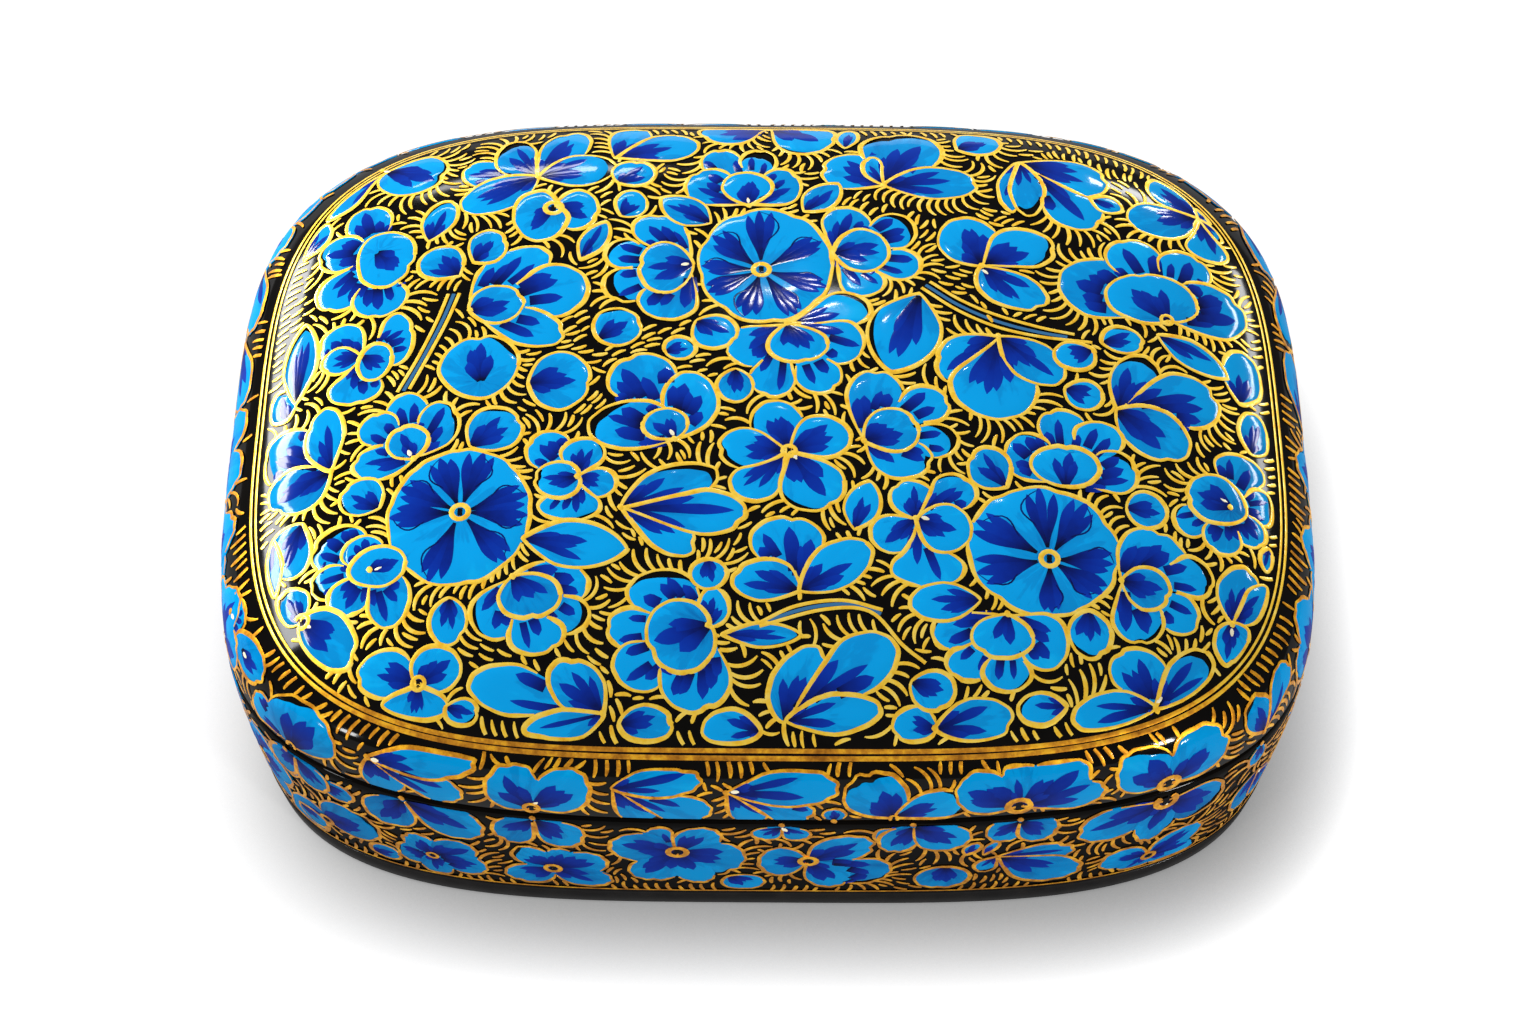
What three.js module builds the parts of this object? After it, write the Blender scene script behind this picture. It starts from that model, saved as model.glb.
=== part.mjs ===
// Lacquered papier-mache trinket box: a low rounded-rectangle tray with a domed lid that lifts off.
// Millimetres, +Z up. The origin is the middle of the underside; +X runs along the length.
// The plan of every level is a superellipse, |x / halfX|^bowX + |y / halfY|^bowY = 1, so the sides
// bow outwards and the corners are round. Each piece is a loft through such plans.

import * as THREE from 'three';

// The outer form, with the seam as the widest level
const BOX_LENGTH = 125;
const BOX_WIDTH = 97.6;
const BODY_HEIGHT = 21.1;
const SEAM_BOW_X = 3.1;
const SEAM_BOW_Y = 4.3;

// The tray narrows towards the table
const BASE_INSET_X = 2.9;
const BASE_INSET_Y = 2.7;
const BASE_FLARE = 1.45;
const BASE_BOW_X = 3.8;
const BASE_BOW_Y = 4.2;

// The lid: an upright side, a rolled shoulder and a low crown
const LID_SIDE_HEIGHT = 9.2;
const SHOULDER_INSET_X = 3.6;
const SHOULDER_INSET_Y = 2.5;
const SIDE_ROLL = 4;
const SHOULDER_BOW_X = 3.9;
const SHOULDER_BOW_Y = 3.3;
const SHOULDER_DROP = 3.5;
const SHOULDER_ROLL = 8;
const CROWN_RISE = 5;
const CROWN_ROLL = 2.2;

// Walls of pressed paper pulp, and the pasted board that closes the tray underneath
const BODY_WALL = 2.4;
const LID_WALL = 2.2;
const BASE_BOARD_THICK = 3.4;
const FLOOR_STEP_HEIGHT = 1.2;
const FLOOR_STEP_FIT = 0.35;
const FOOT_EDGE_ROUND = 0.5;

// The seam, with both rims eased, and the collar glued inside the tray that centres the lid
const SEAM_GAP = 0.3;
const RIM_EDGE_ROUND = 0.4;
const COLLAR_THICK = 1.2;
const COLLAR_DEPTH = 8;
const COLLAR_RISE = 4;
const COLLAR_GLUE_LINE = 0.35;
const COLLAR_RUNNING_FIT = 0.4;
const COLLAR_EDGE_ROUND = 0.3;

// Facets
const POINTS_ROUND = 80;
const TRAY_STEPS = 6;
const LID_SIDE_STEPS = 5;
const LID_DOME_STEPS = 11;
const COLLAR_STEPS = 2;
const DOME_CROWDING = 1.7;

// Heights that the pieces share
const RIM_Z = BODY_HEIGHT;
const LID_RIM_Z = RIM_Z + SEAM_GAP;
const SHOULDER_Z = LID_RIM_Z + LID_SIDE_HEIGHT;
const TOP_Z = SHOULDER_Z + SHOULDER_DROP + CROWN_RISE;

const mix = (from, to, share) => from + (to - from) * share;
const steps = (count) => Array.from({ length: count + 1 }, (_, i) => i / count);

// A plan level: half sizes, bows and height
function level(halfX, halfY, bowX, bowY, z) {
  return { halfX, halfY, bowX, bowY, z };
}

function inset(plan, amount, z = plan.z) {
  return level(plan.halfX - amount, plan.halfY - amount, plan.bowX, plan.bowY, z);
}

// Distance from the middle to the superellipse in one direction, found by halving
function reach(plan, angle) {
  const halvings = 40;
  const across = Math.abs(Math.cos(angle)) / plan.halfX;
  const along = Math.abs(Math.sin(angle)) / plan.halfY;
  let low = 0;
  let high = plan.halfX + plan.halfY;
  for (let i = 0; i < halvings; i += 1) {
    const middle = (low + high) / 2;
    const size = (across * middle) ** plan.bowX + (along * middle) ** plan.bowY;
    if (size < 1) low = middle;
    else high = middle;
  }
  return low;
}

function ring(plan) {
  return Array.from({ length: POINTS_ROUND }, (_, i) => {
    const angle = (i / POINTS_ROUND) * 2 * Math.PI;
    const radius = reach(plan, angle);
    return [radius * Math.cos(angle), radius * Math.sin(angle), plan.z];
  });
}

// A closed solid through rings given from the top outside, downwards and back up inside.
// With two end heights the ends are closed by fans, and without them the last ring meets the first.
function loft(plans, endHeights = null) {
  const positions = plans.flatMap(ring);
  const triangles = [];
  const at = (row, i) => row * POINTS_ROUND + (i % POINTS_ROUND);
  const bands = endHeights ? plans.length - 1 : plans.length;
  for (let row = 0; row < bands; row += 1) {
    const next = (row + 1) % plans.length;
    for (let i = 0; i < POINTS_ROUND; i += 1) {
      triangles.push(at(row, i), at(next, i), at(next, i + 1));
      triangles.push(at(row, i), at(next, i + 1), at(row, i + 1));
    }
  }
  if (endHeights) {
    const first = positions.length;
    const last = plans.length - 1;
    positions.push([0, 0, endHeights[0]], [0, 0, endHeights[1]]);
    for (let i = 0; i < POINTS_ROUND; i += 1) {
      triangles.push(first, at(0, i), at(0, i + 1));
      triangles.push(first + 1, at(last, i + 1), at(last, i));
    }
  }
  const geometry = new THREE.BufferGeometry();
  geometry.setAttribute('position', new THREE.Float32BufferAttribute(positions.flat(), 3));
  geometry.setIndex(triangles);
  geometry.computeVertexNormals();
  return geometry;
}

// Outside of the tray at a height, from the table to the seam
function trayOutside(z) {
  const share = z / BODY_HEIGHT;
  const narrowing = (1 - share) ** BASE_FLARE;
  return level(
    BOX_LENGTH / 2 - BASE_INSET_X * narrowing,
    BOX_WIDTH / 2 - BASE_INSET_Y * narrowing,
    mix(BASE_BOW_X, SEAM_BOW_X, share),
    mix(BASE_BOW_Y, SEAM_BOW_Y, share),
    z,
  );
}

// Outside of the lid's side at a height, from its rim to the shoulder
function lidSideOutside(z) {
  const share = (z - LID_RIM_Z) / LID_SIDE_HEIGHT;
  const rolling = share ** SIDE_ROLL;
  return level(
    BOX_LENGTH / 2 - SHOULDER_INSET_X * rolling,
    BOX_WIDTH / 2 - SHOULDER_INSET_Y * rolling,
    mix(SEAM_BOW_X, SHOULDER_BOW_X, share),
    mix(SEAM_BOW_Y, SHOULDER_BOW_Y, share),
    z,
  );
}

// Outside of the dome where its plan has shrunk to a share of the shoulder's plan
function domeOutside(share) {
  const shoulder = lidSideOutside(SHOULDER_Z);
  const drop = CROWN_RISE * share ** CROWN_ROLL + SHOULDER_DROP * share ** SHOULDER_ROLL;
  return level(shoulder.halfX * share, shoulder.halfY * share, shoulder.bowX, shoulder.bowY, TOP_Z - drop);
}

// The wall's inner face: each level moved square to the profile, with the rim kept level
function innerFace(outside, wall) {
  return outside.map((plan, i) => {
    const below = outside[Math.max(i - 1, 0)];
    const above = outside[Math.min(i + 1, outside.length - 1)];
    const rise = above.z - below.z;
    const slopeX = Math.hypot(rise, below.halfX - above.halfX);
    const slopeY = Math.hypot(rise, below.halfY - above.halfY);
    const sink = i === 0 ? 0 : (wall * (below.halfX - above.halfX)) / slopeX;
    return level(
      plan.halfX - (wall * rise) / slopeX,
      plan.halfY - (wall * rise) / slopeY,
      plan.bowX,
      plan.bowY,
      plan.z - sink,
    );
  });
}

// The moulded wall of the tray, a ring that stands on the base board
function bodyShell() {
  const foot = BASE_BOARD_THICK;
  const heights = steps(TRAY_STEPS).map((share) => mix(foot, RIM_Z - RIM_EDGE_ROUND, share));
  const outside = heights.map(trayOutside);
  const rim = inset(trayOutside(RIM_Z), RIM_EDGE_ROUND);
  const inside = [...heights, RIM_Z].map((z) => inset(trayOutside(z), BODY_WALL));
  return loft([rim, ...outside.reverse(), ...inside]);
}

// The pasted board that closes the tray, with a step that sits inside the wall
function baseBoard() {
  const foot = inset(trayOutside(0), FOOT_EDGE_ROUND);
  const edge = trayOutside(FOOT_EDGE_ROUND);
  const shelf = trayOutside(BASE_BOARD_THICK);
  const floorZ = BASE_BOARD_THICK + FLOOR_STEP_HEIGHT;
  const stepAtFloor = inset(trayOutside(BASE_BOARD_THICK), BODY_WALL + FLOOR_STEP_FIT, floorZ);
  const stepAtShelf = inset(shelf, BODY_WALL + FLOOR_STEP_FIT);
  return loft([stepAtFloor, stepAtShelf, shelf, edge, foot], [floorZ, 0]);
}

// The thin collar glued inside the tray; it stands above the rim and centres the lid
function innerCollar() {
  const glued = steps(COLLAR_STEPS).map((share) => mix(RIM_Z - COLLAR_DEPTH, RIM_Z, share));
  const gluedFace = glued.map((z) => inset(trayOutside(z), BODY_WALL + COLLAR_GLUE_LINE));
  const collarTop = RIM_Z + COLLAR_RISE;
  const freeFace = [LID_RIM_Z, collarTop - COLLAR_EDGE_ROUND]
    .map((z) => inset(lidSideOutside(z), LID_WALL + COLLAR_RUNNING_FIT));
  const topEdge = inset(lidSideOutside(collarTop), LID_WALL + COLLAR_RUNNING_FIT + COLLAR_EDGE_ROUND);
  const outside = [...gluedFace, ...freeFace];
  const inside = [...gluedFace, inset(freeFace[1], 0, collarTop)].map((plan) => inset(plan, COLLAR_THICK));
  return loft([topEdge, ...outside.reverse(), ...inside]);
}

// The lid: one moulded shell of even thickness
function lidShell() {
  const sideHeights = steps(LID_SIDE_STEPS).map((share) => mix(LID_RIM_Z, SHOULDER_Z, share));
  const domeShares = steps(LID_DOME_STEPS).map((share) => 1 - share ** DOME_CROWDING).slice(1, -1);
  const dome = domeShares.map(domeOutside);
  const inside = innerFace([...sideHeights.map(lidSideOutside), ...dome], LID_WALL);
  const easedHeights = [LID_RIM_Z + RIM_EDGE_ROUND, ...sideHeights.slice(1)];
  const outside = [...easedHeights.map(lidSideOutside), ...dome];
  const rim = inset(lidSideOutside(LID_RIM_Z), RIM_EDGE_ROUND);
  return loft([...outside.reverse(), rim, ...inside], [TOP_Z, TOP_Z - LID_WALL]);
}

// Finishes: flower-painted lacquer outside, plain black lacquer on the board and the collar
function paintedLacquer() {
  return new THREE.MeshStandardMaterial({ color: 0x1486c4, roughness: 0.15, metalness: 0 });
}

function blackLacquer() {
  return new THREE.MeshStandardMaterial({ color: 0x14110f, roughness: 0.25, metalness: 0 });
}

function piece(name, geometry, material) {
  const mesh = new THREE.Mesh(geometry, material);
  mesh.name = name;
  return mesh;
}

const tray = new THREE.Group();
tray.add(piece('base_board', baseBoard(), blackLacquer()));
tray.add(piece('body_shell', bodyShell(), paintedLacquer()));
tray.add(piece('inner_collar', innerCollar(), blackLacquer()));

const lid = new THREE.Group();
lid.add(piece('lid_shell', lidShell(), paintedLacquer()));

const box = new THREE.Group();
box.add(tray, lid);

export default box;
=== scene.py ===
"""Blender scene of a lacquered papier-mache trinket box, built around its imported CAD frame.

Three maps carry the painting: the lid's top in plan (x, y), and the sides of the lid and of the
tray unrolled (way round from the middle of the front, height). Lengths are millimetres until a
mesh is made.
"""

import math

import bmesh
import bpy
import numpy as np
from mathutils import Matrix, Vector


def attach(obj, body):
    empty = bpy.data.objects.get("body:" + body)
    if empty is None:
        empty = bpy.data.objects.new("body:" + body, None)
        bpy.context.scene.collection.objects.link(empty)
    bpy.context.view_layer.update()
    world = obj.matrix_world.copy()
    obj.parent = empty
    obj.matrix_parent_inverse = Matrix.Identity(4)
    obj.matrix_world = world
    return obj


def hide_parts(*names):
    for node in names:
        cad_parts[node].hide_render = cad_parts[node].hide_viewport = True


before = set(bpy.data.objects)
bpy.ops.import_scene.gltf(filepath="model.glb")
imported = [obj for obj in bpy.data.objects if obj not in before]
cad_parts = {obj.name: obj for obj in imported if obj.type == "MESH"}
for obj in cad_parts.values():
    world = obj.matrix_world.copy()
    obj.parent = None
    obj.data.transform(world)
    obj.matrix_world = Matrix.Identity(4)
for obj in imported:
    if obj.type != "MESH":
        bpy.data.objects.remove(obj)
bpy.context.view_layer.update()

MM = 0.001

# The outer form, as the CAD part has it
HALF_LENGTH = 62.5
HALF_WIDTH = 48.8
RIM_Z = 21.1
SEAM_GAP = 0.3
LID_RIM_Z = RIM_Z + SEAM_GAP
LID_SIDE_HEIGHT = 9.2
SHOULDER_Z = LID_RIM_Z + LID_SIDE_HEIGHT
SHOULDER_DROP = 3.5
SHOULDER_ROLL = 8.0
CROWN_RISE = 5.0
CROWN_ROLL = 2.2
TOP_Z = SHOULDER_Z + SHOULDER_DROP + CROWN_RISE
SEAM_BOWS = (3.1, 4.3)
BASE_BOWS = (3.8, 4.2)
SHOULDER_BOWS = (3.9, 3.3)
BASE_INSETS = (2.9, 2.7)
SHOULDER_INSETS = (3.6, 2.5)
BASE_FLARE = 1.45
SIDE_ROLL = 4.0
BODY_WALL = 2.4
LID_WALL = 2.2
BOARD_THICK = 3.4
BOARD_EASING = 0.12
FLOOR_STEP_HEIGHT = 1.2
FLOOR_Z = BOARD_THICK + FLOOR_STEP_HEIGHT
FLOOR_STEP_FIT = 0.35
FOOT_ROUND = 0.5
RIM_ROUND = 0.4
COLLAR_THICK = 1.2
COLLAR_DEPTH = 8.0
COLLAR_RISE = 4.0
COLLAR_FOOT_Z = RIM_Z - COLLAR_DEPTH
COLLAR_TOP_Z = RIM_Z + COLLAR_RISE
COLLAR_GLUE_LINE = 0.35
COLLAR_RUNNING_FIT = 0.4
COLLAR_ROUND = 0.3

# Facets of the shells
POINTS_ROUND = 320
LID_SIDE_STEPS = 16
LID_DOME_STEPS = 40
DOME_CROWDING = 1.5
TRAY_STEPS = 18
COLLAR_STEPS = 4
MERGE_DISTANCE = 0.002

# Paint layers, measured from the black ground, which lies a little inside the CAD surface
GROUND_DEPTH = 0.25
PETAL_HEIGHT = 0.07
LAYER_STEP = 0.016
MOST_LAYERS = 6
TOP_LAYER = PETAL_HEIGHT + LAYER_STEP * MOST_LAYERS
STROKE_LIFT = 0.012
STROKE_STEP = 0.003
OUTLINE_LIFT = 0.02
LASH_HEIGHT = 0.09
LINE_HEIGHT = 0.1
STEM_HEIGHTS = (0.07, 0.12)
SKIRT_DEPTH = 0.12
RIM_TILT = 0.22
RIM_TILT_POWER = 5
GOLD_RELIEF = 0.16
STROKE_RELIEF = 0.05
CREASE_ANGLE = 1.2

# Painted bands of the sides, from height to height: the black strip at the seam and the foot stays free.
# Gold strokes have the free bands, and the maps reach a little beyond those.
LID_BAND = (22.0, 29.75)
TRAY_BAND = (4.1, 20.35)
BAND_EASING = 0.7
LID_FREE_BAND = (22.0, 30.35)
TRAY_FREE_BAND = (4.0, 20.4)
LID_MAP = (21.4, 30.6)
TRAY_MAP = (3.4, 21.1)
LID_STROKES_Z = 30.3
TRAY_LINE_Z = 3.75
TRAY_STROKES_Z = 3.9

# Where the flowers by rule take over from the listed ones, way round from the middle of the front
RIGHT_ROW_START = 66
LID_ROW_END = -76
TRAY_ROW_END = -61

# The gold border round the top, with painted shade that darkens its gold along the front
BORDER_HALF = (58.4, 45.1)
BORDER_CENTRE = (0.0, -0.9)
BORDER_BOWS = (3.9, 3.3)
BORDER_LINES = ((-0.3, 0.15), (0.3, 0.17))
BORDER_FRONT_Y = -34
BORDER_FRONT_FADE = 8
BORDER_FRONT_WIDENING = 0.11
BORDER_FRONT_SHADE = 0.3
BORDER_POINTS = 420

# Cells of the maps, and the rings that fill a petal
CELL = 0.2
FILL_RING = 1.3

# Brush marks in a petal: the still core, and how they change outwards and from petal to petal
BRUSH_CORE = 0.4
BRUSH_CHANGE = 0.35
BRUSH_VARIETY = 40

# A petal's outline: waves as (share of its size, how many go round), and now and then a notch
PETAL_POINTS_PER_MM = 6.5
PETAL_WAVES = ((0.014, 3), (0.006, 7))
PETAL_NARROWING = 0.16
NOTCH_CHANCE = 0.55
NOTCH_DEPTH = 0.1
NOTCH_WIDTH = 0.16
ANY_PHASE = (0, 6.3)

# Strokes in the petals, gold lashes, stems and eyes
THINNEST_STROKE = 0.03
STROKE_ROOM = 1.0
LASH_HALF_WIDTH = 0.225
LASH_STEP = 0.2
LASH_CLEARANCE = 0.19
LASH_REACH = 3.4
STEM_HALF_WIDTHS = (0.22, 0.21)
STEM_POINT_SPACING = 0.6
SMALLEST_JOINING_EYE = 0.55
ROUNDEL_EYE = 0.95

# Steps of a search by halving
HALVINGS = 36


def mix(a, b, share):
    return a + (b - a) * share


def shares(count):
    return [i / count for i in range(count + 1)]


# Levels of the form: half sizes, bows and height of a superellipse plan

def tray_level(z):
    share = z / RIM_Z
    narrowing = (1 - share) ** BASE_FLARE
    return (
        HALF_LENGTH - BASE_INSETS[0] * narrowing,
        HALF_WIDTH - BASE_INSETS[1] * narrowing,
        mix(BASE_BOWS[0], SEAM_BOWS[0], share),
        mix(BASE_BOWS[1], SEAM_BOWS[1], share),
        z,
    )


def lid_side_level(z):
    share = (z - LID_RIM_Z) / LID_SIDE_HEIGHT
    rolling = share ** SIDE_ROLL
    return (
        HALF_LENGTH - SHOULDER_INSETS[0] * rolling,
        HALF_WIDTH - SHOULDER_INSETS[1] * rolling,
        mix(SEAM_BOWS[0], SHOULDER_BOWS[0], share),
        mix(SEAM_BOWS[1], SHOULDER_BOWS[1], share),
        z,
    )


SHOULDER_HALF = lid_side_level(SHOULDER_Z)[:2]


def dome_height(share):
    return TOP_Z - CROWN_RISE * share ** CROWN_ROLL - SHOULDER_DROP * share ** SHOULDER_ROLL


def dome_level(share):
    return (SHOULDER_HALF[0] * share, SHOULDER_HALF[1] * share, *SHOULDER_BOWS, dome_height(share))


def inset(level, amount, z=None):
    half_x, half_y, bow_x, bow_y, own_z = level
    return (half_x - amount, half_y - amount, bow_x, bow_y, own_z if z is None else z)


def moved_square(levels, amount):
    """Each level moved inwards, square to the profile, with the first kept at its height."""
    moved = []
    for i, level in enumerate(levels):
        below = levels[max(i - 1, 0)]
        above = levels[min(i + 1, len(levels) - 1)]
        rise = above[4] - below[4]
        slope_x = math.hypot(rise, below[0] - above[0])
        slope_y = math.hypot(rise, below[1] - above[1])
        sink = amount * (below[0] - above[0]) / slope_x if i else 0
        half_x = max(level[0] - amount * rise / slope_x, 0.0)
        half_y = max(level[1] - amount * rise / slope_y, 0.0)
        moved.append((half_x, half_y, level[2], level[3], level[4] - sink))
    return moved


def reach(angle, half_x, half_y, bow_x, bow_y):
    """Distance from the middle to a superellipse in each direction, found by halving."""
    across = np.abs(np.cos(angle)) / half_x
    along = np.abs(np.sin(angle)) / half_y
    low = np.zeros_like(across)
    high = np.full_like(across, HALF_LENGTH + HALF_WIDTH)
    for _ in range(HALVINGS):
        middle = (low + high) / 2
        within = (across * middle) ** bow_x + (along * middle) ** bow_y < 1
        low = np.where(within, middle, low)
        high = np.where(within, high, middle)
    return low


# The maps of the painted surface

TABLE_POINTS = 2881
ROUND_ANGLES = np.linspace(-1.5 * math.pi, 0.5 * math.pi, TABLE_POINTS)


def way_round_table():
    distance = reach(ROUND_ANGLES, HALF_LENGTH, HALF_WIDTH, *SEAM_BOWS)
    x = distance * np.cos(ROUND_ANGLES)
    y = distance * np.sin(ROUND_ANGLES)
    way = np.concatenate([[0.0], np.cumsum(np.hypot(np.diff(x), np.diff(y)))])
    return way - way[-1] / 2


ROUND_WAY = way_round_table()
PERIMETER = ROUND_WAY[-1] - ROUND_WAY[0]


def side_place(way, z, level_at):
    within_a_turn = (way + PERIMETER / 2) % PERIMETER - PERIMETER / 2
    angle = np.interp(within_a_turn, ROUND_WAY, ROUND_ANGLES)
    half_x, half_y, bow_x, bow_y, _ = level_at(z)
    distance = reach(angle, half_x, half_y, bow_x, bow_y)
    return np.stack([distance * np.cos(angle), distance * np.sin(angle), z], -1)


def lid_side_place(way, z):
    return side_place(way, np.clip(z, LID_RIM_Z, SHOULDER_Z), lid_side_level)


def tray_side_place(way, z):
    return side_place(way, np.clip(z, 0.0, RIM_Z), tray_level)


def plan_share(x, y, half, bows):
    """How far out a plan point lies, 1 on the superellipse."""
    across = np.abs(x) / half[0]
    along = np.abs(y) / half[1]
    low = np.full_like(across, 1e-6)
    high = np.full_like(across, 3.0)
    for _ in range(HALVINGS):
        middle = (low + high) / 2
        outside = (across / middle) ** bows[0] + (along / middle) ** bows[1] > 1
        low = np.where(outside, middle, low)
        high = np.where(outside, high, middle)
    return high


def top_place(x, y):
    share = np.minimum(plan_share(x, y, SHOULDER_HALF, SHOULDER_BOWS), 1.0)
    return np.stack([x, y, dome_height(share)], -1)


def lifted(place, points, height):
    """Points of a map at a height over the ground, with the surface's normals."""
    step = 0.05
    u, v = points[:, 0], points[:, 1]
    along_u = place(u + step, v) - place(u - step, v)
    along_v = place(u, v + step) - place(u, v - step)
    normal = np.cross(along_u, along_v)
    normal /= np.linalg.norm(normal, axis=1)[:, None]
    return place(u, v) + normal * (height - GROUND_DEPTH), normal


# Directions and angles on a map

def heading(angle):
    return np.array([math.cos(angle), math.sin(angle)])


def headings(angles):
    return np.stack([np.cos(angles), np.sin(angles)], -1)


def left_of(direction):
    return np.array([-direction[1], direction[0]])


def within_half_turn(angle):
    return (angle + math.pi) % (2 * math.pi) - math.pi


def turns_round(count):
    return np.arange(count) / count * 2 * math.pi


# Node helpers

def set_inputs(tree, node, inputs):
    """Gives each input a plain value, or links another node's output to it."""
    for name, value in inputs.items():
        if isinstance(value, bpy.types.NodeSocket):
            tree.links.new(value, node.inputs[name])
        else:
            node.inputs[name].default_value = value


def add_node(tree, kind, inputs=None, **settings):
    made = tree.nodes.new(kind)
    for name, value in settings.items():
        setattr(made, name, value)
    set_inputs(tree, made, inputs or {})
    return made


def node_math(tree, operation, *values):
    return add_node(tree, "ShaderNodeMath", dict(enumerate(values)), operation=operation).outputs[0]


def named_field(tree, name, kind="FLOAT"):
    made = add_node(tree, "GeometryNodeInputNamedAttribute", {"Name": name}, data_type=kind)
    return made.outputs["Attribute"]


def new_tree(name, inputs):
    tree = bpy.data.node_groups.new(name, "GeometryNodeTree")
    tree.interface.new_socket("Geometry", in_out="INPUT", socket_type="NodeSocketGeometry")
    ids = {}
    for label, kind in inputs.items():
        ids[label] = tree.interface.new_socket(label, in_out="INPUT", socket_type=kind).identifier
    tree.interface.new_socket("Geometry", in_out="OUTPUT", socket_type="NodeSocketGeometry")
    return tree, ids, add_node(tree, "NodeGroupInput")


def finish_tree(tree, source, group_in):
    """Realize Instances and Set Material close every tree."""
    realize = add_node(tree, "GeometryNodeRealizeInstances", {0: source})
    dress = add_node(tree, "GeometryNodeSetMaterial", {
        "Geometry": realize.outputs[0],
        "Material": group_in.outputs["Material"],
    })
    add_node(tree, "NodeGroupOutput", {0: dress.outputs[0]})


def shell_tree():
    """Lofts superellipse plans: the object's own points are the levels, in order."""
    tree, ids, group_in = new_tree("superellipse_loft", {
        "Points round": "NodeSocketInt",
        "Merge distance": "NodeSocketFloat",
        "Material": "NodeSocketMaterial",
    })
    levels = group_in.outputs["Geometry"]
    points_round = group_in.outputs["Points round"]
    sizes = add_node(tree, "GeometryNodeAttributeDomainSize", {0: levels}, component="MESH")
    count = sizes.outputs["Point Count"]
    columns = node_math(tree, "ADD", points_round, 1)
    grid = add_node(tree, "GeometryNodeMeshGrid", {"Vertices X": columns, "Vertices Y": count})
    index = add_node(tree, "GeometryNodeInputIndex").outputs[0]
    row = node_math(tree, "MODULO", index, count)
    column = node_math(tree, "FLOOR", node_math(tree, "DIVIDE", index, count))
    turn = node_math(tree, "DIVIDE", column, points_round)
    angle = node_math(tree, "MULTIPLY", turn, 2 * math.pi)

    def of_level(field, kind="FLOAT"):
        inputs = {"Geometry": levels, "Value": field, "Index": row}
        return add_node(tree, "GeometryNodeSampleIndex", inputs, data_type=kind).outputs[0]

    def along(wave, half_name, bow_name):
        swing = node_math(tree, wave, angle)
        power = node_math(tree, "DIVIDE", 2, of_level(named_field(tree, bow_name)))
        size = node_math(tree, "POWER", node_math(tree, "ABSOLUTE", swing), power)
        signed = node_math(tree, "MULTIPLY", size, node_math(tree, "SIGN", swing))
        return node_math(tree, "MULTIPLY", signed, of_level(named_field(tree, half_name)))

    position = add_node(tree, "GeometryNodeInputPosition").outputs[0]
    height = add_node(tree, "ShaderNodeSeparateXYZ", {0: of_level(position, "FLOAT_VECTOR")})
    place = add_node(tree, "ShaderNodeCombineXYZ", {
        "X": along("COSINE", "half_x", "bow_x"),
        "Y": along("SINE", "half_y", "bow_y"),
        "Z": height.outputs["Z"],
    })
    shape = add_node(tree, "GeometryNodeSetPosition", {
        "Geometry": grid.outputs["Mesh"],
        "Position": place.outputs[0],
    })
    merge = add_node(tree, "GeometryNodeMergeByDistance", {
        "Geometry": shape.outputs[0],
        "Distance": group_in.outputs["Merge distance"],
    })
    smooth = add_node(tree, "GeometryNodeSetShadeSmooth", {"Geometry": merge.outputs[0]})
    finish_tree(tree, smooth.outputs[0], group_in)
    return tree, ids


def brush_tree():
    """Sweeps a low lens-shaped bead of paint along each line, as wide as the line says."""
    tree, ids, group_in = new_tree("brush_line", {
        "Relief": "NodeSocketFloat",
        "Material": "NodeSocketMaterial",
    })
    curve = add_node(tree, "GeometryNodeMeshToCurve", {0: group_in.outputs["Geometry"]})
    upright = add_node(tree, "GeometryNodeSetCurveNormal", {
        "Curve": curve.outputs[0],
        "Normal": named_field(tree, "up", "FLOAT_VECTOR"),
    }, mode="FREE")
    circle = add_node(tree, "GeometryNodeCurvePrimitiveCircle", {"Resolution": 4})
    scale = add_node(tree, "ShaderNodeCombineXYZ", {
        "X": group_in.outputs["Relief"],
        "Y": 1.0,
        "Z": 1.0,
    })
    flat = add_node(tree, "GeometryNodeTransform", {
        "Geometry": circle.outputs["Curve"],
        "Scale": scale.outputs[0],
    })
    sweep = add_node(tree, "GeometryNodeCurveToMesh", {
        "Curve": upright.outputs[0],
        "Profile Curve": flat.outputs[0],
        "Scale": named_field(tree, "half_width"),
        "Fill Caps": True,
    })
    smooth = add_node(tree, "GeometryNodeSetShadeSmooth", {"Geometry": sweep.outputs[0]})
    bend = add_node(tree, "GeometryNodeInputMeshEdgeAngle").outputs["Unsigned Angle"]
    crease = add_node(tree, "GeometryNodeSetShadeSmooth", {
        "Geometry": smooth.outputs[0],
        "Selection": node_math(tree, "GREATER_THAN", bend, CREASE_ANGLE),
        "Shade Smooth": False,
    }, domain="EDGE")
    finish_tree(tree, crease.outputs[0], group_in)
    return tree, ids


def give_points(mesh, label, values, kind="FLOAT"):
    """Stores a number or a vector with each point of a mesh."""
    attribute = mesh.attributes.new(label, kind, "POINT")
    field = "value" if kind == "FLOAT" else "vector"
    attribute.data.foreach_set(field, np.asarray(values, np.float32).ravel())


def grown_mesh(name, seed_mesh, tree_and_ids, values):
    """The mesh that a node tree makes from a seed mesh, kept without its modifier."""
    tree, ids = tree_and_ids
    seed = bpy.data.objects.new(name + "_seed", seed_mesh)
    bpy.context.scene.collection.objects.link(seed)
    modifier = seed.modifiers.new("grow", "NODES")
    modifier.node_group = tree
    for label, value in values.items():
        modifier[ids[label]] = value
    graph = bpy.context.evaluated_depsgraph_get()
    mesh = bpy.data.meshes.new_from_object(seed.evaluated_get(graph))
    mesh.name = name
    seed.modifiers.remove(modifier)
    bpy.data.objects.remove(seed)
    return mesh


def piece(name, mesh, body, replaced=()):
    made = bpy.data.objects.new(name, mesh)
    bpy.context.scene.collection.objects.link(made)
    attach(made, body)
    if replaced:
        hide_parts(*replaced)


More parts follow.
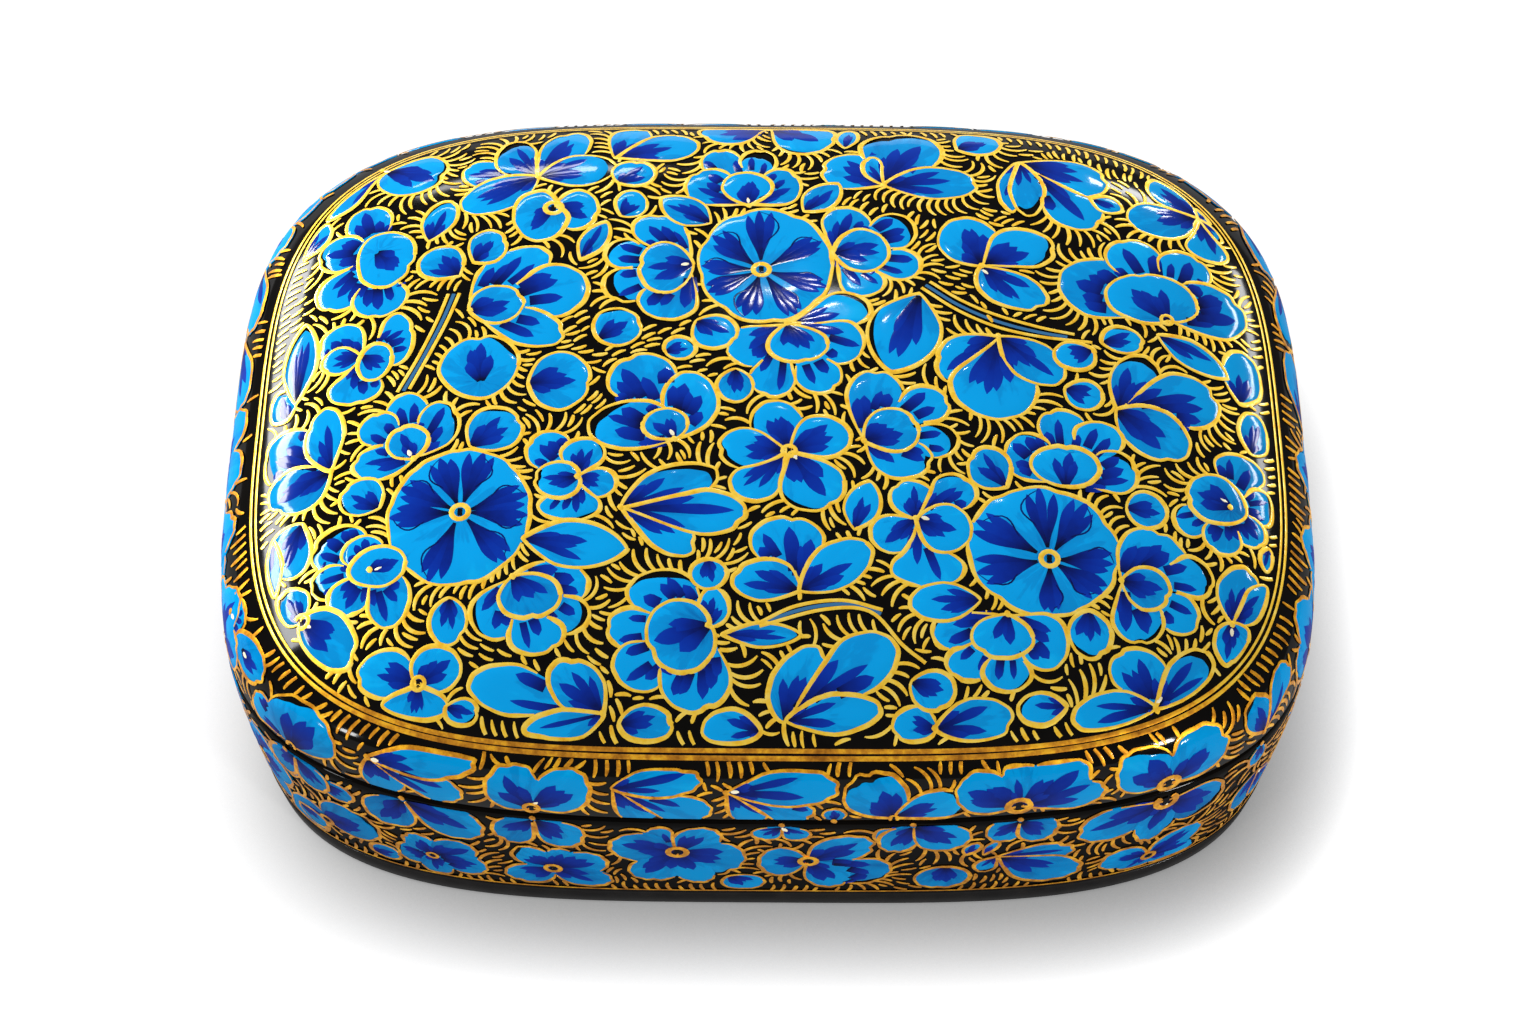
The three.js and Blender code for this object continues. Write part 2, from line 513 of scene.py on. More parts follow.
# Materials: what each layer's varnish weighs, and how each finish is rubbed

TOP_VARNISH = 0.38
LID_SIDE_VARNISH = 0.15
TRAY_VARNISH = 0.12
LID_GROUND_VARNISH = 0.28
PLAIN_VARNISH = 0.3
HAND_RUBBED = {"roughness": 0.5, "coat_roughness": 0.08, "waviness": 0.055, "wave_scale": 130.0}
GOLD_RUBBED = {"roughness": 0.42, "coat_roughness": 0.1, "waviness": 0.03, "wave_scale": 900.0}
PLAIN_RUBBED = {"roughness": 0.45, "coat_roughness": 0.2, "waviness": 0.03, "wave_scale": 500.0}


def srgb(red, green, blue):
    """A colour given as 0 to 255 display values, in linear light."""
    values = []
    for value in (red, green, blue):
        share = value / 255
        values.append(share / 12.92 if share <= 0.04045 else ((share + 0.055) / 1.055) ** 2.4)
    return (*values, 1.0)


def new_material(name):
    material = bpy.data.materials.new(name)
    material.use_nodes = True
    tree = material.node_tree
    return material, tree, tree.nodes["Principled BSDF"]


def noise(tree, scale, detail=3.0, roughness=0.55, at=None):
    place = add_node(tree, "ShaderNodeTexCoord")
    made = add_node(tree, "ShaderNodeTexNoise", {
        "Vector": at or place.outputs["Object"],
        "Scale": scale,
        "Detail": detail,
        "Roughness": roughness,
    })
    return made.outputs["Fac"]


def painted_value(tree, name):
    return add_node(tree, "ShaderNodeAttribute", attribute_name=name).outputs["Fac"]


def ramp(tree, source, stops):
    """A colour ramp, whose stops are a place and the three display values of a colour."""
    made = add_node(tree, "ShaderNodeValToRGB", {0: source})
    elements = made.color_ramp.elements
    while len(elements) < len(stops):
        elements.new(0.5)
    for element, (place, *colour) in zip(elements, stops):
        element.position = place
        element.color = srgb(*colour)
    return made.outputs["Color"]


def gloss(tree, shader, colour, coat, roughness, coat_roughness, waviness, wave_scale):
    """Clear varnish over paint, with the slight waviness of a hand-rubbed lacquer."""
    bump = add_node(tree, "ShaderNodeBump", {
        "Strength": 1.0,
        "Distance": waviness * MM,
        "Height": noise(tree, wave_scale, 2.0),
    })
    set_inputs(tree, shader, {
        "Base Color": colour,
        "Roughness": roughness,
        "Specular IOR Level": 0.0,
        "Coat Weight": coat,
        "Coat IOR": 1.5,
        "Coat Roughness": coat_roughness,
        "Normal": bump.outputs[0],
        "Coat Normal": bump.outputs[0],
    })


def black_ground(area, varnish):
    material, tree, shader = new_material(area + "_black_lacquer")
    colour = ramp(tree, noise(tree, 260.0), [(0.35, 3, 2, 1), (0.75, 9, 6, 4)])
    gloss(tree, shader, colour, varnish, **HAND_RUBBED)
    return material


def plain_black_lacquer():
    material, tree, shader = new_material("plain_black_lacquer")
    colour = ramp(tree, noise(tree, 400.0, 4.0), [(0.3, 14, 13, 13), (0.8, 30, 28, 27)])
    gloss(tree, shader, colour, PLAIN_VARNISH, **PLAIN_RUBBED)
    return material


def turquoise_paint(area, varnish):
    """Lighter towards each petal's edge, with clouds and with brush marks that run outwards."""
    material, tree, shader = new_material(area + "_turquoise_paint")
    bloom = node_math(tree, "MULTIPLY", painted_value(tree, "bloom"), 0.25)
    cloud = node_math(tree, "MULTIPLY", noise(tree, 170.0, 4.0), 0.45)
    # tone: random from petal to petal, plus the map's painted shade
    mixed = node_math(tree, "ADD", node_math(tree, "ADD", bloom, cloud), painted_value(tree, "tone_and_shade"))
    brush = add_node(tree, "ShaderNodeAttribute", attribute_name="brush").outputs["Vector"]
    marks = node_math(tree, "SUBTRACT", noise(tree, 4.5, 3.0, 0.6, brush), 0.5)
    mixed = node_math(tree, "ADD", mixed, node_math(tree, "MULTIPLY", marks, 0.5))
    colour = ramp(tree, mixed, [
        (0.06, 0, 98, 166),
        (0.16, 0, 116, 184),
        (0.26, 0, 134, 202),
        (0.34, 0, 136, 204),
        (0.38, 0, 150, 218),
        (0.52, 0, 152, 220),
        (0.57, 2, 161, 226),
        (0.74, 18, 170, 230),
    ])
    gloss(tree, shader, colour, varnish, **HAND_RUBBED)
    return material


def ultramarine_paint(area, varnish):
    """Nearly black where a stroke starts, and bluer as it travels on."""
    material, tree, shader = new_material(area + "_ultramarine_paint")
    cloud = node_math(tree, "MULTIPLY", noise(tree, 420.0, 4.0), 0.5)
    depth = node_math(tree, "ADD", painted_value(tree, "travel"), cloud)
    colour = ramp(tree, node_math(tree, "MULTIPLY", depth, 0.6), [
        (0.0, 5, 5, 10),
        (0.16, 1, 6, 38),
        (0.27, 1, 19, 92),
        (0.48, 1, 38, 140),
        (0.82, 2, 55, 168),
        (0.95, 52, 104, 148),
    ])
    gloss(tree, shader, colour, varnish, **HAND_RUBBED)
    return material


def gold_paint(area, varnish):
    """Shell gold with a grain; travel above zero darkens it as painted shade, on the sides and along the
    border's front, and travel below zero paints it pale.
    """
    material, tree, shader = new_material(area + "_gold_paint")
    grain = node_math(tree, "SUBTRACT", noise(tree, 700.0, 5.0, 0.65), painted_value(tree, "travel"))
    colour = ramp(tree, grain, [
        (0.0, 150, 92, 20),
        (0.2, 206, 138, 34),
        (0.3, 238, 172, 38),
        (0.5, 252, 206, 62),
        (0.75, 255, 226, 112),
        # pale cream, for the painted glints
        (0.95, 250, 243, 214),
    ])
    shader.inputs["Metallic"].default_value = 0.45
    gloss(tree, shader, colour, varnish, **GOLD_RUBBED)
    return material


PAINTS = {
    area: [make(area, varnish) for make in (turquoise_paint, ultramarine_paint, gold_paint)]
    for area, varnish in (("lid_top", TOP_VARNISH), ("lid_side", LID_SIDE_VARNISH), ("tray", TRAY_VARNISH))
}
LID_GROUND = black_ground("lid", LID_GROUND_VARNISH)
TRAY_GROUND = black_ground("tray", TRAY_VARNISH)
PLAIN_BLACK = plain_black_lacquer()
LOFT = shell_tree()
BRUSH = brush_tree()


# Shells: tray wall, lid, base board and collar

def lofted(name, levels, material):
    """A closed shell through its levels, from the first round to the last."""
    seed = bpy.data.meshes.new(name + "_levels")
    seed.from_pydata([(0, 0, level[4] * MM) for level in levels], [], [])
    table = np.array(levels)
    for column, (label, unit) in enumerate((("half_x", MM), ("half_y", MM), ("bow_x", 1), ("bow_y", 1))):
        give_points(seed, label, table[:, column] * unit)
    values = {"Points round": POINTS_ROUND, "Merge distance": MERGE_DISTANCE * MM, "Material": material}
    mesh = grown_mesh(name, seed, LOFT, values)
    work = bmesh.new()
    work.from_mesh(mesh)
    loose = [edge for edge in work.edges if not edge.link_faces]
    bmesh.ops.delete(work, geom=loose, context="EDGES")
    work.to_mesh(mesh)
    work.free()
    return mesh


def lid_levels():
    """Outside from the rim to the crown, then the inner face back down to the rim."""
    side = [lid_side_level(mix(LID_RIM_Z, SHOULDER_Z, share)) for share in shares(LID_SIDE_STEPS)]
    dome = [dome_level(1 - share ** DOME_CROWDING) for share in shares(LID_DOME_STEPS)[1:-1]]
    skin = moved_square(side + dome, GROUND_DEPTH)
    skin[0] = inset(skin[0], 0, LID_RIM_Z + RIM_ROUND)
    hollow = moved_square(side + dome, LID_WALL)
    rim = inset(side[0], RIM_ROUND + GROUND_DEPTH, LID_RIM_Z)
    crown = (0.0, 0.0, *SHOULDER_BOWS, TOP_Z - GROUND_DEPTH)
    under_crown = (0.0, 0.0, *SHOULDER_BOWS, TOP_Z - LID_WALL)
    return [rim, *skin, crown, under_crown, *reversed(hollow), rim]


def tray_levels():
    """Outside from the board to the rim, then the inner face back down."""
    heights = [mix(BOARD_THICK, RIM_Z - RIM_ROUND, share) for share in shares(TRAY_STEPS)]
    outside = [inset(tray_level(z), GROUND_DEPTH) for z in heights]
    rim = inset(tray_level(RIM_Z), RIM_ROUND + GROUND_DEPTH)
    hollow = [inset(tray_level(z), BODY_WALL) for z in [*heights, RIM_Z]]
    return [*outside, rim, *reversed(hollow), outside[0]]


def board_levels():
    """From the middle of the underside round the edge to the middle of the floor."""
    shelf = tray_level(BOARD_THICK)
    middle = (0.0, 0.0, *BASE_BOWS)
    step = BODY_WALL + FLOOR_STEP_FIT
    return [
        (*middle, 0.0),
        inset(tray_level(0.0), FOOT_ROUND),
        inset(tray_level(0.15 * FOOT_ROUND), 0.3 * FOOT_ROUND),
        tray_level(FOOT_ROUND),
        tray_level(BOARD_THICK - BOARD_EASING),
        inset(shelf, BOARD_EASING),
        inset(shelf, step),
        inset(shelf, step, FLOOR_Z),
        (*middle, FLOOR_Z),
    ]


def collar_levels():
    """Up the glued and the free outside, then down the inner face."""
    heights = [mix(COLLAR_FOOT_Z, RIM_Z, share) for share in shares(COLLAR_STEPS)]
    glued = [inset(tray_level(z), BODY_WALL + COLLAR_GLUE_LINE) for z in heights]
    running = LID_WALL + COLLAR_RUNNING_FIT
    free = [inset(lid_side_level(z), running) for z in (LID_RIM_Z, COLLAR_TOP_Z - COLLAR_ROUND)]
    top = inset(lid_side_level(COLLAR_TOP_Z), running + COLLAR_ROUND)
    inner_top = inset(free[1], COLLAR_THICK, COLLAR_TOP_Z)
    inner = [inset(level, COLLAR_THICK) for level in reversed(glued)]
    return [*glued, *free, top, inner_top, *inner, glued[0]]


def shell(name, levels, material, body, node):
    piece(name, lofted(name, levels, material), body, [node])


shell("lid_ground", lid_levels(), LID_GROUND, "lid", "lid_shell")
shell("tray_ground", tray_levels(), TRAY_GROUND, "tray", "body_shell")
shell("board", board_levels(), PLAIN_BLACK, "tray", "base_board")
shell("collar", collar_levels(), PLAIN_BLACK, "tray", "inner_collar")


# Painting: petals, strokes and gold lines are gathered on a map and set on the surface at the end

class PetalPaint:
    """Flat patches of paint with a skirt down into the ground, gathered into one closed mesh."""

    def __init__(self):
        self.points = []
        self.normals = []
        self.faces = []
        self.blooms = []
        self.tones_and_shades = []
        self.brushes = []
        self.count = 0

    def add(self, place, outline, height, base, tone_and_shade):
        middle = outline.mean(0)
        radius = np.linalg.norm(outline - middle, axis=1).max()
        rings = max(2, math.ceil(radius / FILL_RING))
        inwards = [1 - i / rings for i in range(rings)]
        flat = np.concatenate([*(middle + (outline - middle) * share for share in inwards), middle[None]])
        skirt = np.concatenate([outline, middle[None]])
        top, top_normals = lifted(place, flat, height)
        low, low_normals = lifted(place, skirt, -SKIRT_DEPTH)
        outwards = top - top[-1]
        outwards /= np.maximum(np.linalg.norm(outwards, axis=1), 1e-6)[:, None]
        rim_share = np.repeat([*inwards, 0.0], [len(outline)] * rings + [1])
        top_normals = top_normals + outwards * (RIM_TILT * rim_share ** RIM_TILT_POWER)[:, None]
        top_normals /= np.linalg.norm(top_normals, axis=1)[:, None]
        far = np.linalg.norm(outline - base, axis=1).max()
        bloom = np.linalg.norm(flat - base, axis=1) / far
        low_bloom = np.append(np.linalg.norm(outline - base, axis=1) / far, 0.5)
        for points, share in ((flat, bloom), (skirt, low_bloom)):
            ray = points - base
            ray /= np.maximum(np.linalg.norm(ray, axis=1), BRUSH_CORE)[:, None]
            own_marks = (share * BRUSH_CHANGE + tone_and_shade * BRUSH_VARIETY)[:, None]
            self.brushes.append(np.concatenate([ray, own_marks], axis=1))
        self.points += [top, low]
        self.normals += [top_normals, low_normals]
        self.blooms += [bloom, low_bloom]
        self.tones_and_shades.append(np.full(len(flat) + len(skirt), tone_and_shade))
        self.add_faces(len(outline), rings)
        self.count += len(flat) + len(skirt)

    def add_faces(self, n, rings):
        """The rings of a patch up to its middle, the skirt, and the underside."""
        start = self.count
        for ring in range(rings - 1):
            for i in range(n):
                a, b = start + ring * n + i, start + ring * n + (i + 1) % n
                self.faces.append((a, b, b + n, a + n))
        last = start + (rings - 1) * n
        pole = last + n
        foot = pole + 1
        low_pole = foot + n
        for i in range(n):
            j = (i + 1) % n
            self.faces.append((last + i, last + j, pole))
            self.faces.append((start + j, start + i, foot + i, foot + j))
            self.faces.append((foot + j, foot + i, low_pole))

    def mesh(self, name, material):
        mesh = bpy.data.meshes.new(name)
        mesh.from_pydata((np.concatenate(self.points) * MM).tolist(), [], self.faces)
        mesh.materials.append(material)
        give_points(mesh, "bloom", np.concatenate(self.blooms))
        give_points(mesh, "tone_and_shade", np.concatenate(self.tones_and_shades))
        give_points(mesh, "brush", np.concatenate(self.brushes), "FLOAT_VECTOR")
        mesh.shade_smooth()
        mesh.normals_split_custom_set_from_vertices(np.concatenate(self.normals).tolist())
        return mesh


class LinePaint:
    """Brush lines: points with a surface normal and half a width each."""

    def __init__(self, painted_shade=0.0):
        self.points = []
        self.normals = []
        self.widths = []
        self.travels = []
        self.edges = []
        self.count = 0
        # the travel that lines get unless they say otherwise: on gold lines it is painted shade
        self.painted_shade = painted_shade

    def add(self, place, path, half_width, height, travel=None):
        if len(path) < 2:
            return
        points, normals = lifted(place, path, height)
        self.points.append(points)
        self.normals.append(normals)
        self.widths.append(np.broadcast_to(half_width, len(path)))
        travel = np.array([self.painted_shade, self.painted_shade] if travel is None else travel, float)
        steps = np.linspace(0, 1, len(travel))
        self.travels.append(np.interp(np.linspace(0, 1, len(path)), steps, travel))
        self.edges += [(self.count + i, self.count + i + 1) for i in range(len(path) - 1)]
        self.count += len(path)

    def mesh(self, name, material, relief):
        """The lines swept into beads of paint."""
        seed = bpy.data.meshes.new(name + "_lines")
        seed.from_pydata((np.concatenate(self.points) * MM).tolist(), self.edges, [])
        give_points(seed, "up", np.concatenate(self.normals), "FLOAT_VECTOR")
        give_points(seed, "half_width", np.concatenate(self.widths) * MM)
        give_points(seed, "travel", np.concatenate(self.travels))
        return grown_mesh(name, seed, BRUSH, {"Relief": relief, "Material": material})


def inside(points, outline):
    """Which points lie inside a closed outline."""
    x, y = points[:, 0][:, None], points[:, 1][:, None]
    ax, ay = outline[:, 0], outline[:, 1]
    bx, by = np.roll(ax, -1), np.roll(ay, -1)
    crosses = (ay > y) != (by > y)
    with np.errstate(divide="ignore", invalid="ignore"):
        cut = ax + (y - ay) * (bx - ax) / (by - ay)
    return ((crosses & (x < cut)).sum(1) % 2) == 1


def runs(shown):
    """The stretches of a path where it is shown."""
    start = None
    for i, visible in enumerate([*shown, False]):
        if visible and start is None:
            start = i
        if not visible and start is not None:
            if i - start > 1:
                yield slice(start, i)
            start = None


def petal_outline(shape, base, rng, pointed, edge_waves):
    """An egg narrowing to the flower's base, with a wavy, slightly notched outer edge."""
    x, y, width, height = shape[:4]
    long_axis = heading(math.radians(shape[4]) if len(shape) > 4 else 0.0)
    size = max(width, height)
    t = turns_round(int(np.clip(size * PETAL_POINTS_PER_MM, 20, 64)))
    across = height / 2 * np.sin(t)
    if pointed:
        across = across * np.abs(np.sin(t)) ** 0.5
    local = np.stack([width / 2 * np.cos(t), across], -1)
    outline = local @ np.array([long_axis, left_of(long_axis)])
    to_base = np.array(base) - (x, y)
    distance = np.linalg.norm(to_base)
    towards = to_base / max(distance, 1e-6)
    direction = outline / np.linalg.norm(outline, axis=1)[:, None]
    facing = direction @ towards
    if not pointed:
        # waves, and now and then one notch, on the side away from the base
        wave = sum(swing * np.sin(bumps * t + rng.uniform(*ANY_PHASE)) for swing, bumps in PETAL_WAVES)
        away = np.clip(-facing, 0, 1)
        ripple = 0.008 * edge_waves * np.sin(11 * t + rng.uniform(*ANY_PHASE)) * away
        turn = np.arctan2(direction @ left_of(towards), -facing)
        notch_at = rng.uniform(-0.7, 0.7)
        notched = rng.random() < NOTCH_CHANCE
        notch = NOTCH_DEPTH * np.exp(-((turn - notch_at) / NOTCH_WIDTH) ** 2) * notched
        outline = outline * (1 + wave + ripple - notch)[:, None]
        sideways = outline - np.outer(outline @ towards, towards)
        outline = outline - sideways * PETAL_NARROWING * np.clip(facing, 0, 1)[:, None]
    outside_by = distance - np.abs(outline @ towards).max()
    if outside_by > -0.25 * size:
        # the petal is drawn out to the base that it doesn't reach
        pull = 0.9 * np.clip((facing - 0.55) / 0.45, 0, 1) ** 1.6
        outline = outline + (to_base - outline) * pull[:, None]
    return outline + (x, y)


class Map:
    """One painted map: where it lies, what is on it so far, and what of it is free."""

    def __init__(self, place, low, high, seed, keep, petal_shade):
        self.place = place
        self.keep = keep
        # painted shade that darkens every petal of this map
        self.petal_shade = petal_shade
        self.joins_petals = False
        # painted shade of the gold lines: a little lighter on the top, darker on the sides
        self.gold_shade = -0.03
        self.outline_half = 0.23
        self.edge_waves = 1.0
        self.lash_spacing = 0.96
        self.lash_middles = []
        self.lash_turns = []
        self.rng = np.random.default_rng(seed)
        self.petals = []
        self.marks = []
        self.low = np.array(low, float)
        self.high = np.array(high, float)
        self.size = np.ceil((self.high - self.low) / CELL).astype(int)
        self.end = self.low + self.size * CELL
        self.taken = np.zeros(self.size, bool)

    def cells(self, points):
        found = ((points - self.low) / CELL).astype(int)
        return np.clip(found, 0, self.size - 1)

    def stamp(self, points, radius):
        """Takes up the cells within a radius of each point."""
        span = range(-math.ceil(radius / CELL), math.ceil(radius / CELL) + 1)
        offsets = [(i, j) for i in span for j in span if math.hypot(i, j) * CELL <= radius]
        found = self.cells(points)[:, None, :] + np.array(offsets)[None]
        found = np.clip(found, 0, self.size - 1).reshape(-1, 2)
        self.taken[found[:, 0], found[:, 1]] = True

    def take_where(self, test, low, high):
        """Takes up the cells between two corner cells whose middles pass a test."""
        i, j = np.meshgrid(np.arange(low[0], high[0]), np.arange(low[1], high[1]), indexing="ij")
        cells = np.stack([i.ravel(), j.ravel()], -1)
        hit = cells[test(self.low + (cells + 0.5) * CELL)]
        self.taken[hit[:, 0], hit[:, 1]] = True

    def take_outline(self, outline):
        low, high = self.cells(np.stack([outline.min(0), outline.max(0)]))
        self.take_where(lambda points: inside(points, outline), low, high + 1)

    def free(self, points):
        found = self.cells(points)
        on_grid = ((points > self.low) & (points < self.end)).all()
        return on_grid and not self.taken[found[:, 0], found[:, 1]].any()

    def holds(self, point):
        return bool((point > self.low).all() and (point < self.high).all())


def note_petal(sheet, outline, cut, base, kind, layer, size, **more):
    sheet.petals.append({
        "outline": outline, "cut": cut, "base": np.array(base, float), "kind": kind, "layer": layer,
        "middle": outline.mean(0), "reach": max(size) / 2, "size": size, **more,
    })


def add_petal(sheet, shape, base, kind="petal", joined=None):
    size = shape[2:4]
    kept, cut = sheet.keep(petal_outline(shape, base, sheet.rng, kind == "leaf", sheet.edge_waves))
    middle = kept.mean(0)
    layer = 1
    for other in sheet.petals:
        near = np.abs(other["middle"] - middle).max() < other["reach"] + max(size)
        if near and (inside(kept, other["outline"]).any() or inside(other["outline"], kept).any()):
            layer = max(layer, other["layer"] + 1)
    note_petal(sheet, kept, cut, base, kind, min(layer, MOST_LAYERS), size, joined=joined)


def covering(sheet, index):
    """The outlines of later petals that may cover this one."""
    own = sheet.petals[index]
    return [other["outline"] for other in sheet.petals[index + 1:]
            if np.abs(other["middle"] - own["middle"]).max() < other["reach"] * 1.3 + own["reach"] * 1.3]


def petal_height(petal):
    return PETAL_HEIGHT + LAYER_STEP * petal["layer"]


def shown_points(path, covers):
    shown = np.ones(len(path), bool)
    for cover in covers:
        shown &= ~inside(path, cover)
    return shown


def stroke_widths(count, widest, start):
    """A brush stroke's half widths: fullest past its middle and drawn out to a tip."""
    t = np.linspace(0, 1, count)
    rising = start + (1 - start) * np.clip(t / 0.7, 0, 1)
    falling = np.clip(1 - (np.clip(t - 0.6, 0, 1) / 0.4) ** 2.2, 0.0, 1) ** 0.8
    return np.maximum(widest * rising * falling, THINNEST_STROKE)


def fan_strokes(sheet, petal, covers, lines):
    """Dark brush strokes that spread from the base of a petal towards its edge."""
    rng = sheet.rng
    outline, base = petal["outline"], petal["base"].copy()
    middle = petal["middle"]
    if not inside(base[None], outline)[0]:
        nearest = outline[np.linalg.norm(outline - base, axis=1).argmin()]
        base = nearest + (middle - nearest) * 0.06
    rays = outline - base
    angles = np.arctan2(rays[:, 1], rays[:, 0])
    lengths = np.linalg.norm(rays, axis=1)
    axis = middle - base
    if np.linalg.norm(axis) < 0.2 * petal["reach"]:
        axis = outline[lengths.argmax()] - base
    axis_angle = math.atan2(axis[1], axis[0])
    turned = within_half_turn(angles - axis_angle)
    order = np.argsort(turned)
    size = min(petal["size"])
    count = int(np.clip(round(size * 0.5 + 1.8), 3, 6))
    spread = rng.uniform(0.48, 0.72)
    if petal["kind"] == "leaf":
        count, spread = 4, rng.uniform(0.2, 0.3)
    for i in range(count):
        lean = mix(-spread, spread, (i + 0.5) / count) + rng.uniform(-0.08, 0.08)
        room = np.interp(lean, turned[order], lengths[order])
        direction = heading(axis_angle + lean)
        probe = np.linspace(0.0, room * 0.97, 24)
        clear = shown_points(base + direction * probe[:, None], covers)
        if not clear.any():
            continue
        begin = max(probe[int(np.argmax(clear))] - 0.25, 0.0)
        if room - begin < STROKE_ROOM:
            continue
        length = (room - begin) * rng.uniform(0.54, 0.92) * (1 - 0.2 * abs(lean) / spread)
        bend = rng.uniform(-0.07, 0.07) * length - 0.12 * lean * length
        steps = max(6, int(length / 0.6))
        t = np.linspace(0.0, 1.0, steps)[:, None]
        path = base + direction * (begin + length * t) + left_of(direction) * bend * t * t
        fuller = 1.2 if petal["joined"] else 1.0
        widest = np.clip(size * 0.115, 0.34, 0.9) * rng.uniform(0.75, 1.2) * fuller
        widths = stroke_widths(steps, widest, 0.45 if begin == 0 else 0.9)
        shown = shown_points(path, covers) & inside(path, outline)
        height = petal_height(petal) + STROKE_LIFT + STROKE_STEP * (i % 3)
        for part in runs(shown):
            travel = (part.start / steps, part.stop / steps)
            lines.add(sheet.place, path[part], widths[part], height, travel)


def outline_gold(sheet, petal, covers, lines):
    """The gold line round a petal, where nothing covers it."""
    outline = petal["outline"]
    shown = shown_points(outline, covers) & ~petal["cut"]
    whole = shown.all()
    start = 0 if whole else int(np.argmin(shown))
    overlap = 2 if whole else 1
    ring = np.roll(outline, -start, axis=0)
    ring = np.concatenate([ring, ring[:overlap]])
    seen = np.roll(shown, -start)
    seen = np.concatenate([seen, seen[:overlap]])
    wobble = sheet.rng.uniform(0.85, 1.15)
    for part in runs(seen):
        count = part.stop - part.start
        swell = 1 + 0.26 * np.sin(np.linspace(0, 9, count) + sheet.rng.uniform(*ANY_PHASE))
        if not whole:
            to_end = np.minimum(np.arange(count), np.arange(count)[::-1])
            swell *= np.clip(0.55 + 0.2 * to_end, 0, 1)
        widths = sheet.outline_half * wobble * swell
        lines.add(sheet.place, ring[part], widths, petal_height(petal) + OUTLINE_LIFT)


def eye(sheet, x, y, radius, gold, dark):
    """A gold ring with a dark middle, where a flower's petals meet."""
    disc = (x, y) + radius * headings(turns_round(14))
    kept, _ = sheet.keep(disc)
    spot = np.array([[x - radius * 0.3, y], [x, y], [x + radius * 0.3, y]])
    dark.add(sheet.place, spot, radius * 0.55, TOP_LAYER, (-0.5, -0.5))
    ring = np.concatenate([disc, disc[:2]])
    whole = np.abs(sheet.keep(ring)[0] - ring).max(1) < 0.02
    for part in runs(whole):
        gold.add(sheet.place, ring[part], radius * 0.32, TOP_LAYER + OUTLINE_LIFT)
    sheet.stamp(kept, 0.5)


def roundel(sheet, x, y, width, height, eye_at, lobes):
    """A wide open flower of joined lobes, with strokes all round its eye."""
    t = turns_round(96)
    round_plan = np.stack([np.cos(t) * width / 2, np.sin(t) * height / 2], -1)
    lobe_turns = np.sort(np.radians(lobes) % (2 * math.pi))
    dents = np.zeros(len(t))
    for turn, next_turn in zip(lobe_turns, np.roll(lobe_turns, -1)):
        cusp = turn + ((next_turn - turn) % (2 * math.pi)) / 2
        dents += 0.025 * np.exp(-(within_half_turn(t - cusp) / 0.09) ** 2)
    outline = round_plan * (1 - dents + 0.012 * np.sin(9 * t))[:, None] + (x, y)
    wide_lobes = [(turn, float(sheet.rng.uniform(0.17, 0.27))) for turn in lobe_turns]
    no_cut = np.zeros(len(t), bool)
    note_petal(sheet, outline, no_cut, eye_at, "roundel", 1, (width, height), joined=None, lobes=wide_lobes)


def roundel_strokes(sheet, petal, dark):
    """Three strokes along each lobe, and a thin line that loops round one side of it."""
    rng = sheet.rng
    base = petal["base"]
    rays = petal["outline"] - base
    angles = np.arctan2(rays[:, 1], rays[:, 0])
    order = np.argsort(angles)
    lengths = np.linalg.norm(rays, axis=1)
    height = petal_height(petal) + STROKE_LIFT
    for lobe, width in petal["lobes"]:
        reach_share = rng.uniform(0.97, 1.05)
        for i, side in enumerate((-1, 1, 0)):
            angle = lobe + side * width * 0.72 + rng.uniform(-0.02, 0.02)
            room = np.interp(within_half_turn(angle), angles[order], lengths[order])
            length = room * (reach_share - 0.07 * abs(side) - rng.uniform(0, 0.05))
            steps = max(10, int(length / 0.5))
            t = np.linspace(0.17, 1.0, steps)
            opening = np.clip(t / 0.65, 0, 1)
            turn = lobe + (angle - lobe) * opening * opening * (3 - 2 * opening)
            path = base + length * t[:, None] * headings(turn)
            widths = stroke_widths(steps, rng.uniform(0.62, 0.8), 0.2)
            dark.add(sheet.place, path, widths, height + STROKE_STEP * i, (0.0, rng.uniform(0.7, 1.1)))
        share = np.linspace(0.2, rng.uniform(0.9, 0.97), 14)
        bulge = np.sin(math.pi * np.linspace(0, 1, 14) ** 1.6)
        turn = lobe + rng.choice((-1, 1)) * (width + 0.1) * bulge
        room = np.interp(within_half_turn(turn), angles[order], lengths[order])
        path = base + (room * share)[:, None] * headings(turn)
        dark.add(sheet.place, path, 0.045 + 0.06 * bulge, height + 4 * STROKE_STEP, (0.0, 0.3))


def painted_part(sheet, petal):
    """A petal's fill, which now and then stops short of the gold line so that black shows."""
    rng = sheet.rng
    outline, base = petal["outline"], petal["base"]
    axis = petal["middle"] - base
    rays = outline - base
    gap_turn = rng.uniform(-0.7, 0.7) + math.atan2(axis[1], axis[0])
    turned = within_half_turn(np.arctan2(rays[:, 1], rays[:, 0]) - gap_turn)
    short = rng.uniform(0.08, 0.17) * (rng.random() < 0.35)
    if petal["kind"] == "roundel" or petal["cut"].any() or np.linalg.norm(axis) < 0.25 * petal["reach"]:
        return outline
    return base + rays * (1 - short * np.exp(-(turned / 0.4) ** 2))[:, None]


def siblings(sheet, petal):
    """The outlines of the other petals that are joined round the same eye."""
    if petal["joined"] is None:
        return []
    return [other["outline"] for other in sheet.petals
            if other["joined"] == petal["joined"] and other is not petal]


